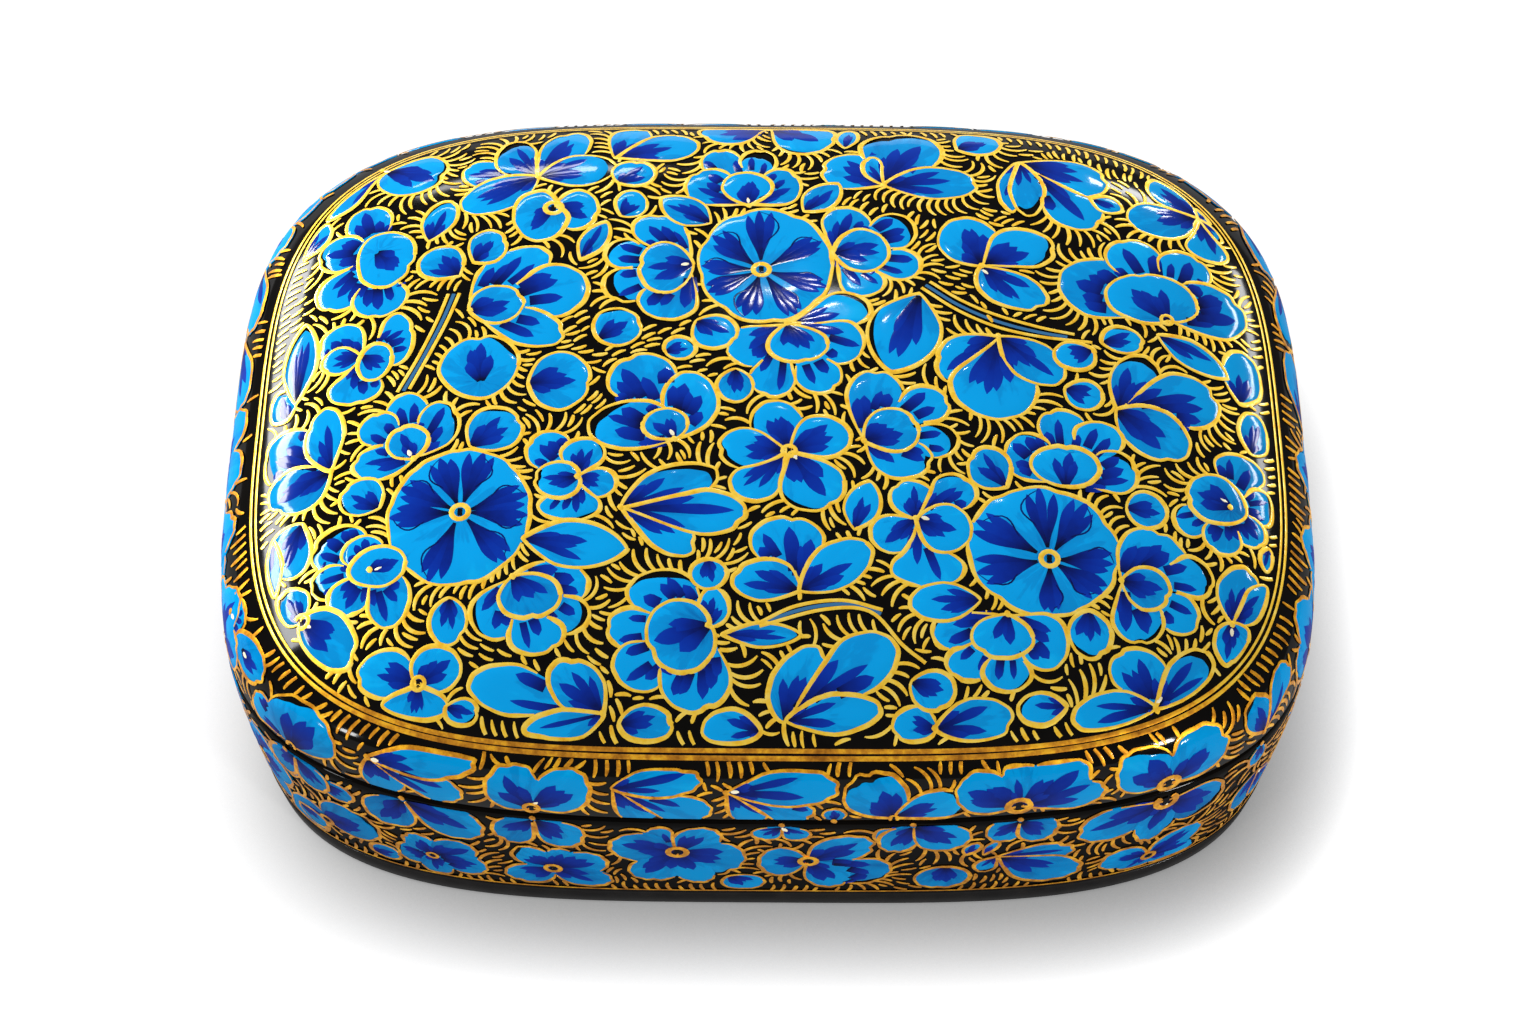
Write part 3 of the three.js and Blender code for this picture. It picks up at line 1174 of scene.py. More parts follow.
def paint_petals(sheet, paint, gold, dark):
    """Fills, strokes and gold outlines of every petal, later petals lying over earlier ones."""
    for index, petal in enumerate(sheet.petals):
        covers = covering(sheet, index)
        # a random tone for each petal, plus the map's painted shade
        tone_and_shade = sheet.petal_shade + sheet.rng.uniform(-0.1, 0.1)
        paint.add(sheet.place, painted_part(sheet, petal), petal_height(petal), petal["base"], tone_and_shade)
        if petal["kind"] == "roundel":
            roundel_strokes(sheet, petal, dark)
        else:
            fan_strokes(sheet, petal, covers, dark)
        outline_gold(sheet, petal, covers + siblings(sheet, petal), gold)
        sheet.take_outline(petal["outline"])
        sheet.stamp(petal["outline"], 0.36)


def grow_line(sheet, root, turn, curl, longest):
    """Points of a curved stroke from a root in a direction, as far as there is room."""
    points = [root]
    for i in range(int(longest / LASH_STEP)):
        direction = heading(turn)
        point = points[-1] + direction * LASH_STEP
        sideways = LASH_CLEARANCE * left_of(direction)
        ahead = point + direction * 0.05
        if i > 2 and not sheet.free(np.stack([ahead, point + sideways, point - sideways])):
            break
        if not sheet.holds(point):
            break
        points.append(point)
        turn += curl * LASH_STEP
    return np.array(points)


def lash_widths(count, start, end):
    """Half widths of a lash: fullest in its middle."""
    t = np.linspace(0, 1, count)
    rising = (1 - start) * np.clip(1 - t / 0.45, 0, 1) ** 2
    falling = (1 - end) * np.clip((t - 0.45) / 0.55, 0, 1) ** 2
    return LASH_HALF_WIDTH * (1 - rising - falling)


def add_lash(sheet, lines, path, start, end):
    path = np.concatenate([path[:-1:2], path[-1:]])
    widths = lash_widths(len(path), start, end) * sheet.rng.uniform(0.86, 1.14)
    lines.add(sheet.place, path, widths, LASH_HEIGHT)
    sheet.stamp(path, 0.42 * sheet.lash_spacing)
    middle = len(path) // 2
    ray = path[middle] - path[middle - 1]
    sheet.lash_middles.append(path[middle])
    sheet.lash_turns.append(math.atan2(ray[1], ray[0]))


def lash_row(sheet, lines, closed, spacing, lean, curl, longest, gaps=0.0):
    """A comb of strokes on the right-hand side of a closed line; only with room for them."""
    rng = sheet.rng
    way = np.concatenate([[0], np.cumsum(np.linalg.norm(np.diff(closed, axis=0), axis=1))])
    at = rng.uniform(0, spacing)
    while at < way[-1]:
        root, ahead = (np.array([np.interp(d, way, closed[:, 0]), np.interp(d, way, closed[:, 1])])
                       for d in (at, min(at + 0.3, way[-1])))
        tangent = ahead - root
        at += spacing * rng.uniform(0.92, 1.08)
        if np.linalg.norm(tangent) < 1e-6 or math.sin(at * 0.13) + math.sin(at * 0.071) < 2 * gaps - 2:
            continue
        outwards = math.atan2(-tangent[0], tangent[1])
        turn = outwards + lean + math.radians(rng.uniform(-4, 4))
        root = root + 0.1 * heading(outwards)
        path = grow_line(sheet, root, turn, curl, longest * rng.uniform(0.8, 1.15))
        if len(path) > 5:
            add_lash(sheet, lines, path, 0.85, 0.4)


def eyelashes(sheet, lines):
    """Combs of curved gold strokes that stand on the outlines and reach into the black."""
    rng = sheet.rng
    for petal in sheet.petals:
        closed = np.concatenate([petal["outline"], petal["outline"][:1]])
        side = rng.choice((-1, 1))
        lean = side * math.radians(rng.uniform(24, 52))
        curl = -side * math.radians(rng.uniform(15, 31))
        if rng.random() < 0.6 or petal["kind"] == "roundel":
            lash_row(sheet, lines, closed, sheet.lash_spacing, lean, curl, LASH_REACH)


def strokes_between(sheet, lines):
    """More strokes side by side with the nearest lash, where there is room, and a few dots."""
    rng = sheet.rng
    middles, turns = np.array(sheet.lash_middles), np.array(sheet.lash_turns)
    cross = np.array([[0, 0], [1, 0], [-1, 0], [0, 1], [0, -1]])
    pitch = 0.4
    reach_out = 1.4
    for u in np.arange(sheet.low[0], sheet.end[0], pitch):
        for v in np.arange(sheet.low[1], sheet.end[1], pitch):
            centre = np.array([u, v]) + rng.uniform(-0.15, 0.15, 2)
            if not sheet.free(centre + 0.34 * cross):
                continue
            turn = turns[np.abs(middles - centre).sum(1).argmin()]
            curl = math.radians(rng.uniform(17, 33))
            ahead = grow_line(sheet, centre, turn, curl, reach_out)
            behind = grow_line(sheet, centre, turn + math.pi, -curl, reach_out)
            path = np.concatenate([behind[:0:-1], ahead])
            if len(path) > 8 or (len(path) > 5 and rng.random() < 0.35):
                add_lash(sheet, lines, path, 0.45, 0.45)


def flower(sheet, base, petals, eye_radius=0.0):
    joined = base if sheet.joins_petals and eye_radius > SMALLEST_JOINING_EYE else None
    for shape in petals:
        add_petal(sheet, shape, base, joined=joined)
    sheet.marks.append((*base, eye_radius))


def plant(sheet, flowers):
    """The flowers of a table, later ones lying over earlier ones."""
    for (x, y, *eye_radius), *petals in flowers:
        flower(sheet, (x, y), petals, *eye_radius)


def buds(sheet, entries, kind="petal"):
    """Single petals, each with the point it grows from."""
    for shape, base in entries:
        add_petal(sheet, shape, base, kind)


# Listed flowers. A flower is the point where its petals meet, with the radius of its eye where it
# has one, and its petals from back to front. A petal is its middle, its width, its height and, where
# it leans, its tilt in degrees. A bud or a leaf is one petal and the point it grows from.

# The lid's top in plan
REAR_FLOWERS = (
    ((-46.8, 37.3), (-51, 32.5, 8, 5, 50), (-43, 34.9, 9, 8.3)),
    ((-46, 21), (-47.4, 26.2, 6.6, 5.6, 100), (-50.3, 22, 5.8, 6), (-50, 15.8, 6, 6.2),
     (-45.3, 13.8, 6.6, 6), (-45, 20, 7, 9.2)),
    ((-27.6, 32.3), (-34.2, 33.6, 5, 5.2), (-30.4, 36.4, 8, 5, 90), (-24.8, 38, 9.5, 5.6, 65),
     (-31.8, 29.6, 10.5, 6, 32), (-22.7, 33.5, 8.6, 6.2, 10)),
    ((-25.5, 26.5, 1.0), (-22.8, 26.2, 5.2, 7), (-26.8, 25.5, 6.8, 9)),
    ((-34.5, 10.5), (-30.3, 16, 11, 6.2, 38), (-25, 13, 8, 8.2), (-28.3, 7.9, 10.5, 5.4, -25),
     (-31.7, 11.2, 6.7, 5.8)),
    ((-18.6, 35.9), (-17, 40.2, 8, 5, 75), (-12.6, 38.3, 8.2, 6.2, 15)),
    ((0, 45), (-4.9, 43, 7.4, 7.6), (4, 41.5, 7.8, 9)),
    ((-2.5, 26.8), (-5.8, 35, 4.9, 5.6), (-1.4, 35, 4.4, 5.6), (-7, 30.2, 6, 7), (1.2, 30.3, 5, 7),
     (-2.7, 30.1, 6, 5.8)),
    ((-8.9, 16.9), (-12.6, 22, 7.6, 5.4, -35), (-16.8, 18.6, 4.8, 4.8), (-16.3, 13.7, 6, 5.4),
     (-11.6, 11.2, 7, 6), (-12, 16.4, 6.4, 8.2)),
    ((7.3, 18.8), (8.9, 23.4, 5.8, 6.6), (14.3, 22.6, 5.6, 6), (14.8, 17.2, 5.6, 5), (10.6, 14.2, 5.4, 4.4),
     (10.6, 19.3, 6.5, 7.1)),
    ((13.5, 30.8), (9.9, 33.4, 7.6, 7.2), (15.7, 37.5, 10, 9.5), (12.2, 34, 2.4, 4.8),
     (19.2, 31.4, 11, 6.1)),
    ((29.8, 36.2), (28.4, 31, 2.8, 9), (35.2, 33.9, 10.8, 7.2, -10), (35.8, 27.7, 7.6, 6.6, -30),
     (30.5, 30.9, 9.6, 4.2, 90)),
    ((51.3, 29.9), (48.4, 33.4, 6.8, 6, -40), (46.4, 27.7, 8.2, 6.2), (52.6, 31, 3, 2.8),
     (52.7, 27.9, 4.6, 3.4), (51.9, 24.4, 5.4, 4.4)),
    ((24.6, 17.3), (23.2, 21.2, 7.2, 8), (29.3, 20.5, 8, 6.4), (27.7, 14, 9.4, 5.6, -25)),
    ((46, 11.3, 0.7), (38.6, 15, 10.2, 9.4), (42.7, 20.2, 6.8, 6.6), (48.6, 19.8, 6.6, 5.8),
     (51, 14, 9.6, 8.6), (44.6, 14, 11.2, 8.2)),
)

MIDDLE_FLOWERS = (
    ((-46.8, 5.2), (-49.2, 7.3, 5.6, 6.2), (-49.3, 5, 4.4, 4), (-43, 7, 4.2, 8), (-47.2, 0.6, 6.4, 4.8),
     (-45.3, 4.2, 4.2, 5.6)),
    ((-39.8, -10.6), (-41, -3.9, 4.9, 5.6), (-44, -6, 4.8, 5), (-37.3, -6.2, 4.8, 7),
     (-43.4, -10.7, 6.8, 4.8), (-40.6, -8.3, 4.8, 4.9)),
    ((-49.2, -11), (-54.6, -7.6, 7, 7.8), (-52.8, -12.6, 7.4, 6.6), (-50.3, -6.2, 4.6, 8.8)),
    ((-21.3, -14.2), (-24.6, -10.5, 5.2, 5.6), (-20.8, -11.1, 5, 4.4), (-19.2, -15, 4.6, 4),
     (-22, -18, 7, 4), (-23.2, -14.5, 5.8, 5)),
    ((2, 7.6), (8.4, 9.9, 6.4, 5.2), (-2, 4.3, 6, 6.2), (7.8, 5, 6, 6.6), (0.4, -0.4, 5.2, 5.6),
     (5.5, 0, 5.4, 5.3), (3.1, 4.6, 7, 5.5)),
    ((-10.6, -9.2), (-14.3, -0.6, 8, 7.4), (-9, -4.2, 6.4, 9.2), (-15, -7.2, 10.6, 7),
     (-11.6, -7.2, 5.2, 4.6)),
    ((2.2, -10.8, 0.75), (0.8, -7, 6, 6.6), (5.8, -8.8, 6.6, 6), (-2.5, -10.4, 6.4, 5.6),
     (-1.5, -15.1, 5.8, 4.8), (4.7, -15.2, 7.4, 7.2)),
    ((10.6, -9.3), (12, -3.8, 6.8, 9.6), (17.4, -3.9, 5.8, 5.4), (18.4, -8.9, 5.6, 4.8),
     (14.6, -11.6, 7.2, 5.4), (13.6, -7.7, 6.4, 6.2)),
    ((-16.4, -18.4), (-11, -15.6, 11, 5.4, 20), (-11.7, -21.2, 9, 4.6, -42), (-7.3, -19, 9.6, 5.8)),
    ((26.2, 6.6), (22.4, 3.2, 8.4, 6.4, 55), (25.5, -0.8, 10, 9.4), (29.9, 3.3, 8.6, 5.8, -40)),
    ((39.4, -3), (41.6, 1.3, 8.6, 5.8, 65), (47, -0.5, 9, 7.8), (43.2, -5.6, 9.6, 7.2, -35)),
    ((33, -14.4), (33, -6.4, 5.6, 5.6), (37, -7.5, 5.8, 5), (29.2, -10.7, 5.8, 6.8), (38.4, -12, 5.8, 6),
     (33.1, -11.8, 7.8, 6)),
    ((51.7, -14.5), (53.2, -9.2, 6, 5), (55.4, -13.4, 3.8, 5), (47, -17.3, 4, 4.4), (53.7, -17.1, 4.2, 4.4),
     (50.5, -18.8, 4.5, 4.8), (50.2, -13.9, 7, 6.8)),
)

FRONT_FLOWERS = (
    ((16.2, -19.6), (15.8, -17, 5, 5), (20.4, -16, 5.2, 5), (13.8, -21.5, 5.4, 5), (17.4, -25.8, 8.2, 4.8),
     (19.3, -20.7, 6, 6.4)),
    ((-43.9, -25), (-47.3, -21.9, 6.8, 6.2), (-44.8, -22.6, 4.8, 4.2), (-48, -25.9, 5, 4.4),
     (-46, -28, 5, 4.6), (-41.6, -28.8, 4.8, 7), (-43.1, -24.7, 6.4, 5.2)),
    ((-51.3, -30, 0.8), (-52.7, -28.1, 4.6, 4.8), (-48.6, -32.2, 9.6, 5.6, -50)),
    ((-28, -27), (-24.2, -28.2, 9, 6.4), (-29.6, -31.2, 5.8, 6.4), (-22, -31.7, 5, 4.6),
     (-25.3, -33.9, 6.2, 4.6), (-26.2, -29.3, 7, 5.6)),
    ((-37.9, -38.7, 0.7), (-41.5, -37.3, 6.4, 5.2), (-36.2, -37.4, 5.8, 5.2), (-38.4, -41, 7.6, 3.6)),
    ((-17.8, -42.4), (-27.4, -39.9, 10, 5.2, -12), (-20.5, -39.7, 7.2, 5.2, -35),
     (-21.8, -43.5, 9, 3.2, 5)),
    ((-6.6, -33), (-11.4, -29.1, 8, 5.6), (-14.7, -33.3, 5.8, 4.8), (-13.6, -37.4, 6.4, 5.6),
     (-7.9, -38.6, 7.8, 7.4), (-6, -31, 3.4, 5), (-9.2, -34, 8.2, 8.4)),
    ((3.3, -28.8), (2, -22.8, 8.2, 6.6), (-0.2, -27.5, 7.6, 5.2), (7.3, -25.8, 9.2, 5.6, 38)),
    ((1.9, -43), (2.9, -39.3, 9.6, 5, 55), (9.7, -37.3, 9.4, 6.4, 35), (7, -42.3, 10.2, 3.9, 5)),
    ((18, -43.6), (16, -43.3, 5.2, 3.6), (22.2, -42.8, 8.6, 4.4, 8)),
    ((38.7, -26.3), (42.2, -23.3, 8.2, 8.2), (46.6, -24.8, 5, 5.2), (44.8, -29.5, 5, 5),
     (40.3, -30.6, 5.8, 6.2), (41.4, -26.9, 5.4, 5.4)),
    ((26, -31.2), (21.2, -33.4, 7, 5), (29.8, -34.1, 5.6, 6.6), (21.8, -36.9, 5.2, 3.8),
     (25.8, -37.8, 5.4, 4), (25.4, -33.8, 6.8, 5)),
    ((51, -29.6), (51.9, -25.6, 7.4, 4.6, 65), (54.4, -26.6, 6, 4, 60), (51.4, -31.8, 5.2, 6.2)),
    ((42.2, -40.4), (40.3, -36.8, 6.6, 5.2), (37.9, -41.2, 10, 4.6, 12), (45.4, -37.1, 9, 4.6, 52)),
)

TOP_BUDS = (
    ((-54.2, 25.6, 6, 4, 65), (-55.5, 23)), ((-39, 25.4, 6.8, 4, 70), (-40, 22)),
    ((-38.2, 18.2, 5.6, 5.4), (-36, 16)), ((-33, 20.3, 4.6, 5.6), (-34.5, 18)),
    ((-16.3, 32.7, 5.4, 5), (-18, 31)), ((-16.4, 27, 3.9, 5), (-17.5, 25)),
    ((24.9, 40.3, 5.8, 6), (22.5, 38.5)), ((-33, 2, 9.2, 9.2), (-32.8, 0)),
    ((-23.9, -0.5, 7.2, 8.5), (-27.3, -0.7)), ((-31, -7.2, 6.6, 6.4), (-33.5, -9.4)),
    ((-45.3, -15.3, 5.2, 5.2), (-43.3, -17)), ((-17.6, 7.1, 5.8, 5.8), (-19.5, 5.5)),
    ((-10.4, 3.9, 4, 3.4), (-11.8, 3.4)), ((-6.4, 6.4, 5.4, 5.2), (-8.4, 8)),
    ((-3.9, -1.5, 4.2, 4.9), (-3.9, 0.8)), ((40.4, 7.4, 5.2, 4), (38.2, 6.7)),
    ((35, 4.4, 5, 4.2), (37, 5.6)), ((35.6, -1.2, 4.6, 4.4), (33.6, -0.4)), ((54.7, 4.7, 5, 8.4), (54, 1)),
    ((55.5, -3.3, 4, 6.6), (54.8, -6)), ((24.6, -12.6, 5, 6), (26.4, -15)),
    ((41.9, -16.7, 4.8, 5), (39.8, -16.7)), ((19.3, -29.9, 8, 4.6, 5), (23, -29.6)),
    ((-53.2, -20.7, 7.4, 5, 100), (-52, -17.5)), ((-55.3, -22.5, 2.6, 7.5), (-55.3, -19)),
    ((-34.9, -31.9, 4.2, 5.8), (-34.9, -29.3)), ((-33.2, -41.9, 3.8, 2.8), (-34.8, -41.2)),
    ((-6.6, -26.7, 4.1, 3.9), (-6.6, -25)), ((-13.4, -43.4, 6.2, 3.8), (-16, -43.4)),
    ((-3.8, -43.8, 6.6, 3.8), (-0.8, -44)), ((17.6, -39.8, 5.2, 4.2), (15.5, -39)),
    ((35, -32.9, 4.8, 5.8), (35, -30.3)), ((56, -20.2, 2.4, 3.6), (56, -18.8)),
    ((29.7, -41.3, 5.6, 3.2, 8), (32.2, -41)), ((-56, 0, 4, 5), (-55, -2)),
)

TOP_LEAVES = (
    ((-20.6, 20.8, 7, 3.2, 65), (-22, 17.8)), ((-9.8, 25.8, 7.6, 4.6, -38), (-7, 23.8)),
    ((9.3, 41, 5.6, 2.6, 80), (9, 38.5)), ((6, 28.3, 6.8, 4, 52), (4, 26)),
    ((40, 29.2, 4, 3, -25), (38, 30)), ((-54.1, 5.7, 12, 4, 88), (-54.2, 0)),
    ((15.4, 6.7, 12.4, 8.4, 75), (17.3, 12.6)), ((48.7, 6.6, 9.4, 4, -30), (44.8, 8.8)),
    ((10.3, -18, 6.8, 4, 75), (9.4, -21)), ((-21.4, -23, 11.8, 6, -8), (-27, -22.2)),
    ((-0.7, -34, 8.5, 2.8, 0), (-5, -34)),
)

# Roundels: middle, width, height, the eye's place, and the turn of each lobe in degrees
ROUNDELS = [
    (-0.5, 17, 15.6, 18.4, (-1, 16), (92, 35, -20, -60, -105, -150, 175, 135)),
    (-34.3, -18.8, 16, 18, (-34.2, -18.4), (110, 75, 15, -5, -50, -110, 180, 150)),
    (30.2, -23, 16.8, 16.4, (30.8, -24.2), (95, 60, 0, -35, -90, -165, 150)),
]

# Long stems on the top: the lines along their two sides
STEMS = [
    (
        [(-42.3, -0.8), (-40.2, 4), (-38.4, 9), (-37.2, 13.3)],
        [(-40.9, -0.5), (-38.9, 4.4), (-37.1, 9.2), (-35.9, 13.3)],
    ),
    (
        [(18.5, 14.5), (22, 11.8), (26, 9.8), (31, 8.3), (35, 7.6)],
        [(17.5, 13.5), (21.5, 10.3), (26, 8), (31, 6.9), (37, 6.6)],
    ),
    (
        [(-1, -33), (6, -31), (11, -31.2), (14.5, -35), (17, -37)],
        [(-1, -32.6), (3, -30.6), (8, -29.9), (12.4, -31)],
    ),
]

# The sides, unrolled: way round from the middle of the front, and height
LID_SIDE_FLOWERS = (
    ((-71, 27.6), (-70, 27.9, 5.8, 3.6)),
    ((-65.5, 27.6), (-64, 27.7, 7.4, 3.8)),
    ((-54.3, 22.4, 0.6), (-59.2, 24.4, 3.8, 4.6), (-53.3, 25.9, 10.4, 7.2)),
    ((-44.2, 27.1), (-42.4, 24.2, 5.6, 5.4, 110), (-36.6, 24.6, 6.8, 5, -20), (-38, 28.2, 11.6, 4.6, 8)),
    ((-25.7, 23.1, 0.8), (-27.6, 25.8, 8.2, 6.2, 105), (-22.6, 25.9, 7.6, 6.4, 70)),
    ((-17, 27.3), (-14.2, 24, 5.4, 5, 105), (-9.4, 23.9, 6.6, 5), (-12.3, 28, 9.8, 4.2, 5)),
    ((-4.5, 26.9), (-2.2, 24, 5.4, 4.4, -60), (2.4, 23.5, 5.4, 4.2), (2, 27.3, 11.4, 5.4, 3)),
    ((7.3, 21.8), (7.3, 23, 2.6, 2.4)),
    ((13.8, 22.4, 0.5), (11.9, 26, 7.4, 7.2, 95), (18.3, 24.6, 8.2, 5.2, 12)),
    ((27.4, 23.9, 1.25), (23.9, 26, 7.4, 6.6, 120), (28, 28, 6, 4.4, 90), (31.6, 27.4, 8.6, 6.2, 40),
     (33.2, 24.8, 7.4, 5.2, 10)),
    ((44.4, 23.2, 1.15), (41.8, 26.1, 7.4, 7.2, 110), (48, 26, 8.6, 7.2, 35)),
    ((57.6, 23), (57, 26.3, 5.2, 4.6, 95), (61.6, 27.1, 5.6, 3.2, 15)),
)

TRAY_SIDE_FLOWERS = (
    ((-55.4, 20.6), (-57.4, 17.5, 4.4, 2.2, 100), (-55.2, 17, 2.6, 3.6), (-53.2, 19, 3.4, 4)),
    ((-40.4, 20.9), (-42.2, 17.3, 6.4, 6.4), (-35.2, 17.7, 7.8, 6.6, -25)),
    ((-51.6, 8.7, 0.8), (-54.6, 7.2, 9.6, 6, 60), (-48.4, 10.9, 8.4, 7.4, 20)),
    ((-38.3, 8.8, 0.6), (-40.8, 8.2, 3.6, 4.8), (-39.3, 11, 5, 4, 110), (-35.6, 11, 5.6, 5, 30),
     (-34.8, 7.8, 5.4, 5, -15), (-38.2, 6.4, 3.8, 5.4, 0)),
    ((-25.7, 20.9), (-28, 17.8, 4.8, 5.8), (-22.8, 17.6, 5.4, 5.8)),
    ((-24.4, 9.1, 0.85), (-26.6, 11.8, 4.8, 4.4, 120), (-23.2, 12, 3.6, 4.4), (-20.8, 10.9, 5.6, 5.4, 30),
     (-21.3, 7.2, 7, 5, -20), (-27, 7.4, 6.2, 5, 20)),
    ((-10, 14.4, 1.05), (-11.8, 18.6, 3, 3), (-13.9, 15.2, 7.2, 7, 0), (-7.8, 17.4, 6, 5, 40),
     (-6, 12.6, 7, 8.6, -15), (-12.7, 9.8, 6.6, 5.8, 60), (-8.3, 9.2, 6, 4.6, -70)),
    ((1.6, 20.9), (0, 18.9, 3.4, 2.8), (3.2, 18.8, 3.2, 2.8)),
    ((4.7, 12.3, 0.95), (1.8, 12, 7.4, 5.4, 85), (8.2, 15.2, 8, 6, 30), (10.8, 9.6, 6.6, 7.2, -40),
     (6.9, 8.8, 7.4, 5.4, -75)),
    ((16, 20.9), (12.6, 18.4, 1.6, 3.4), (14.5, 17.4, 4.4, 5.8), (19.3, 17.8, 6.6, 6, -20)),
    ((27.8, 20.9), (26.2, 18.6, 4, 5), (29.9, 18.4, 4.8, 5.2)),
    ((26, 12.6), (24.9, 10.4, 2.6, 3.4), (30.4, 12.2, 8.6, 5, 8), (31.6, 8.6, 9.6, 6.6, -25)),
    ((44.5, 19.4, 1.2), (38.9, 17, 8.8, 7, 15), (48.8, 16.7, 7, 7, -30), (43.9, 15, 7.8, 5, 85)),
    ((44.5, 6.7, 0.75), (41.2, 7.7, 5.6, 4.8, 20), (47.5, 8.6, 7, 5.2, 15), (47.8, 5.2, 7, 4.2),
     (43.2, 5.4, 4.4, 2.8)),
    ((57.5, 20.9), (57.2, 18.6, 3, 3.6)),
    ((58.5, 14), (57.5, 10.5, 5, 7.6), (61, 9, 6, 5, -50)),
)

TRAY_SIDE_BUDS = (
    ((-48.7, 17.4, 4.4, 3.6), (-50.4, 18)), ((-44.5, 6.4, 4.2, 3.4, 15), (-46, 5.5)),
    ((-2.8, 6.4, 5.2, 4.4), (-4.2, 8)), ((20.3, 7.7, 6.4, 6.4), (20.4, 10.3)),
    ((22.9, 14.8, 3, 1.8, 60), (22.4, 13.4)), ((25, 14.8, 3.2, 1.4, 65), (24.4, 13.2)),
)


def eased_limit(values, limit, easing):
    """Values held below a limit, slowing down over the easing before it."""
    start = limit - easing
    return np.where(values > start, limit - easing * np.exp(-np.maximum(values - start, 0) / easing), values)


# The lid's top

def border_share(points):
    """How far out points lie, 1 on the middle of the border."""
    return plan_share(points[:, 0], points[:, 1] - BORDER_CENTRE[1], BORDER_HALF, BORDER_BOWS)


def top_keep(points):
    """Flowers end inside the border."""
    share = border_share(points)
    scale = eased_limit(share, 0.99, 0.03) / share
    return BORDER_CENTRE + (points - BORDER_CENTRE) * scale[:, None], np.zeros(len(points), bool)


def smooth_path(points):
    """A curve through given points."""
    points = np.array(points, float)
    padded = np.concatenate([2 * points[:1] - points[1:2], points, 2 * points[-1:] - points[-2:-1]])
    parts = []
    for a, b, c, d in zip(padded, padded[1:], padded[2:], padded[3:]):
        steps = max(2, int(np.linalg.norm(c - b) / STEM_POINT_SPACING))
        t = np.linspace(0, 1, steps, endpoint=False)[:, None]
        bend = (2 * a - 5 * b + 4 * c - d) * t ** 2
        twist = (3 * b - a - 3 * c + d) * t ** 3
        parts.append(0.5 * (2 * b + (c - a) * t + bend + twist))
    return np.concatenate([*parts, points[-1:]])


def border_line(inwards=0.0):
    """The middle of the border, or a line that lies inwards from it."""
    angle = np.linspace(0, 2 * math.pi, BORDER_POINTS)
    distance = reach(angle, BORDER_HALF[0] - inwards, BORDER_HALF[1] - inwards, *BORDER_BOWS)
    return BORDER_CENTRE + distance[:, None] * headings(angle)


def paint_border(sheet, gold):
    """Two gold lines round the top, with black between them."""
    for gap, width in BORDER_LINES:
        line = border_line()
        front = np.clip((BORDER_FRONT_Y - line[:, 1]) / BORDER_FRONT_FADE, 0, 1)
        front = np.append(front, front[1])
        away = line - BORDER_CENTRE
        line = line + away / np.linalg.norm(away, axis=1)[:, None] * gap
        line = np.concatenate([line, line[1:2]])
        # along the front the border's gold gets painted shade
        gold.add(sheet.place, line, width + BORDER_FRONT_WIDENING * front, LINE_HEIGHT, BORDER_FRONT_SHADE * front)
        sheet.stamp(line, 0.3)


def paint_stems(sheet, gold, dark):
    """Long stems on the top: two gold lines with dark blue between them."""
    blue_half, gold_half = STEM_HALF_WIDTHS
    blue_height, gold_height = STEM_HEIGHTS
    for sides in STEMS:
        paths = [smooth_path(side) for side in sides]
        count = min(len(path) for path in paths)
        middle = (paths[0][:count] + paths[1][:count]) / 2
        dark.add(sheet.place, middle, blue_half, blue_height, (1.4, 1.4))
        for path in paths:
            gold.add(sheet.place, path, gold_half, gold_height)
            sheet.stamp(path, 0.45)


def top_extra(sheet, gold, dark, lashes):
    """The border and its comb, the stems, and the eyes of the roundels."""
    paint_border(sheet, gold)
    paint_stems(sheet, gold, dark)
    for entry in ROUNDELS:
        eye_x, eye_y = entry[4]
        eye(sheet, eye_x, eye_y, ROUNDEL_EYE, gold, dark)
    lash_row(sheet, lashes, border_line(0.7)[::-1], spacing=1.2, lean=0.7, curl=-0.4, longest=1.7, gaps=0.85)


def top_sheet():
    sheet = Map(top_place, low=(-60, -48), high=(60, 46), seed=11, keep=top_keep, petal_shade=0.0)
    for entry in ROUNDELS:
        roundel(sheet, *entry)
    plant(sheet, REAR_FLOWERS)
    plant(sheet, MIDDLE_FLOWERS)
    plant(sheet, FRONT_FLOWERS)
    buds(sheet, TOP_BUDS)
    buds(sheet, TOP_LEAVES, "leaf")
    sheet.take_where(lambda points: border_share(points) > 0.988, (0, 0), sheet.size)
    return sheet


# The sides, unrolled: way round from the middle of the front, and height

def lid_band_keep(points):
    """Flowers end under the border, and are cut at the seam."""
    z = eased_limit(points[:, 1], LID_BAND[1], BAND_EASING)
    return np.stack([points[:, 0], np.maximum(z, LID_BAND[0])], -1), z < LID_BAND[0]


def tray_band_keep(points):
    """Flowers end over the foot, and are cut at the seam."""
    z = -eased_limit(-points[:, 1], -TRAY_BAND[0], BAND_EASING)
    return np.stack([points[:, 0], np.minimum(z, TRAY_BAND[1])], -1), z > TRAY_BAND[1]


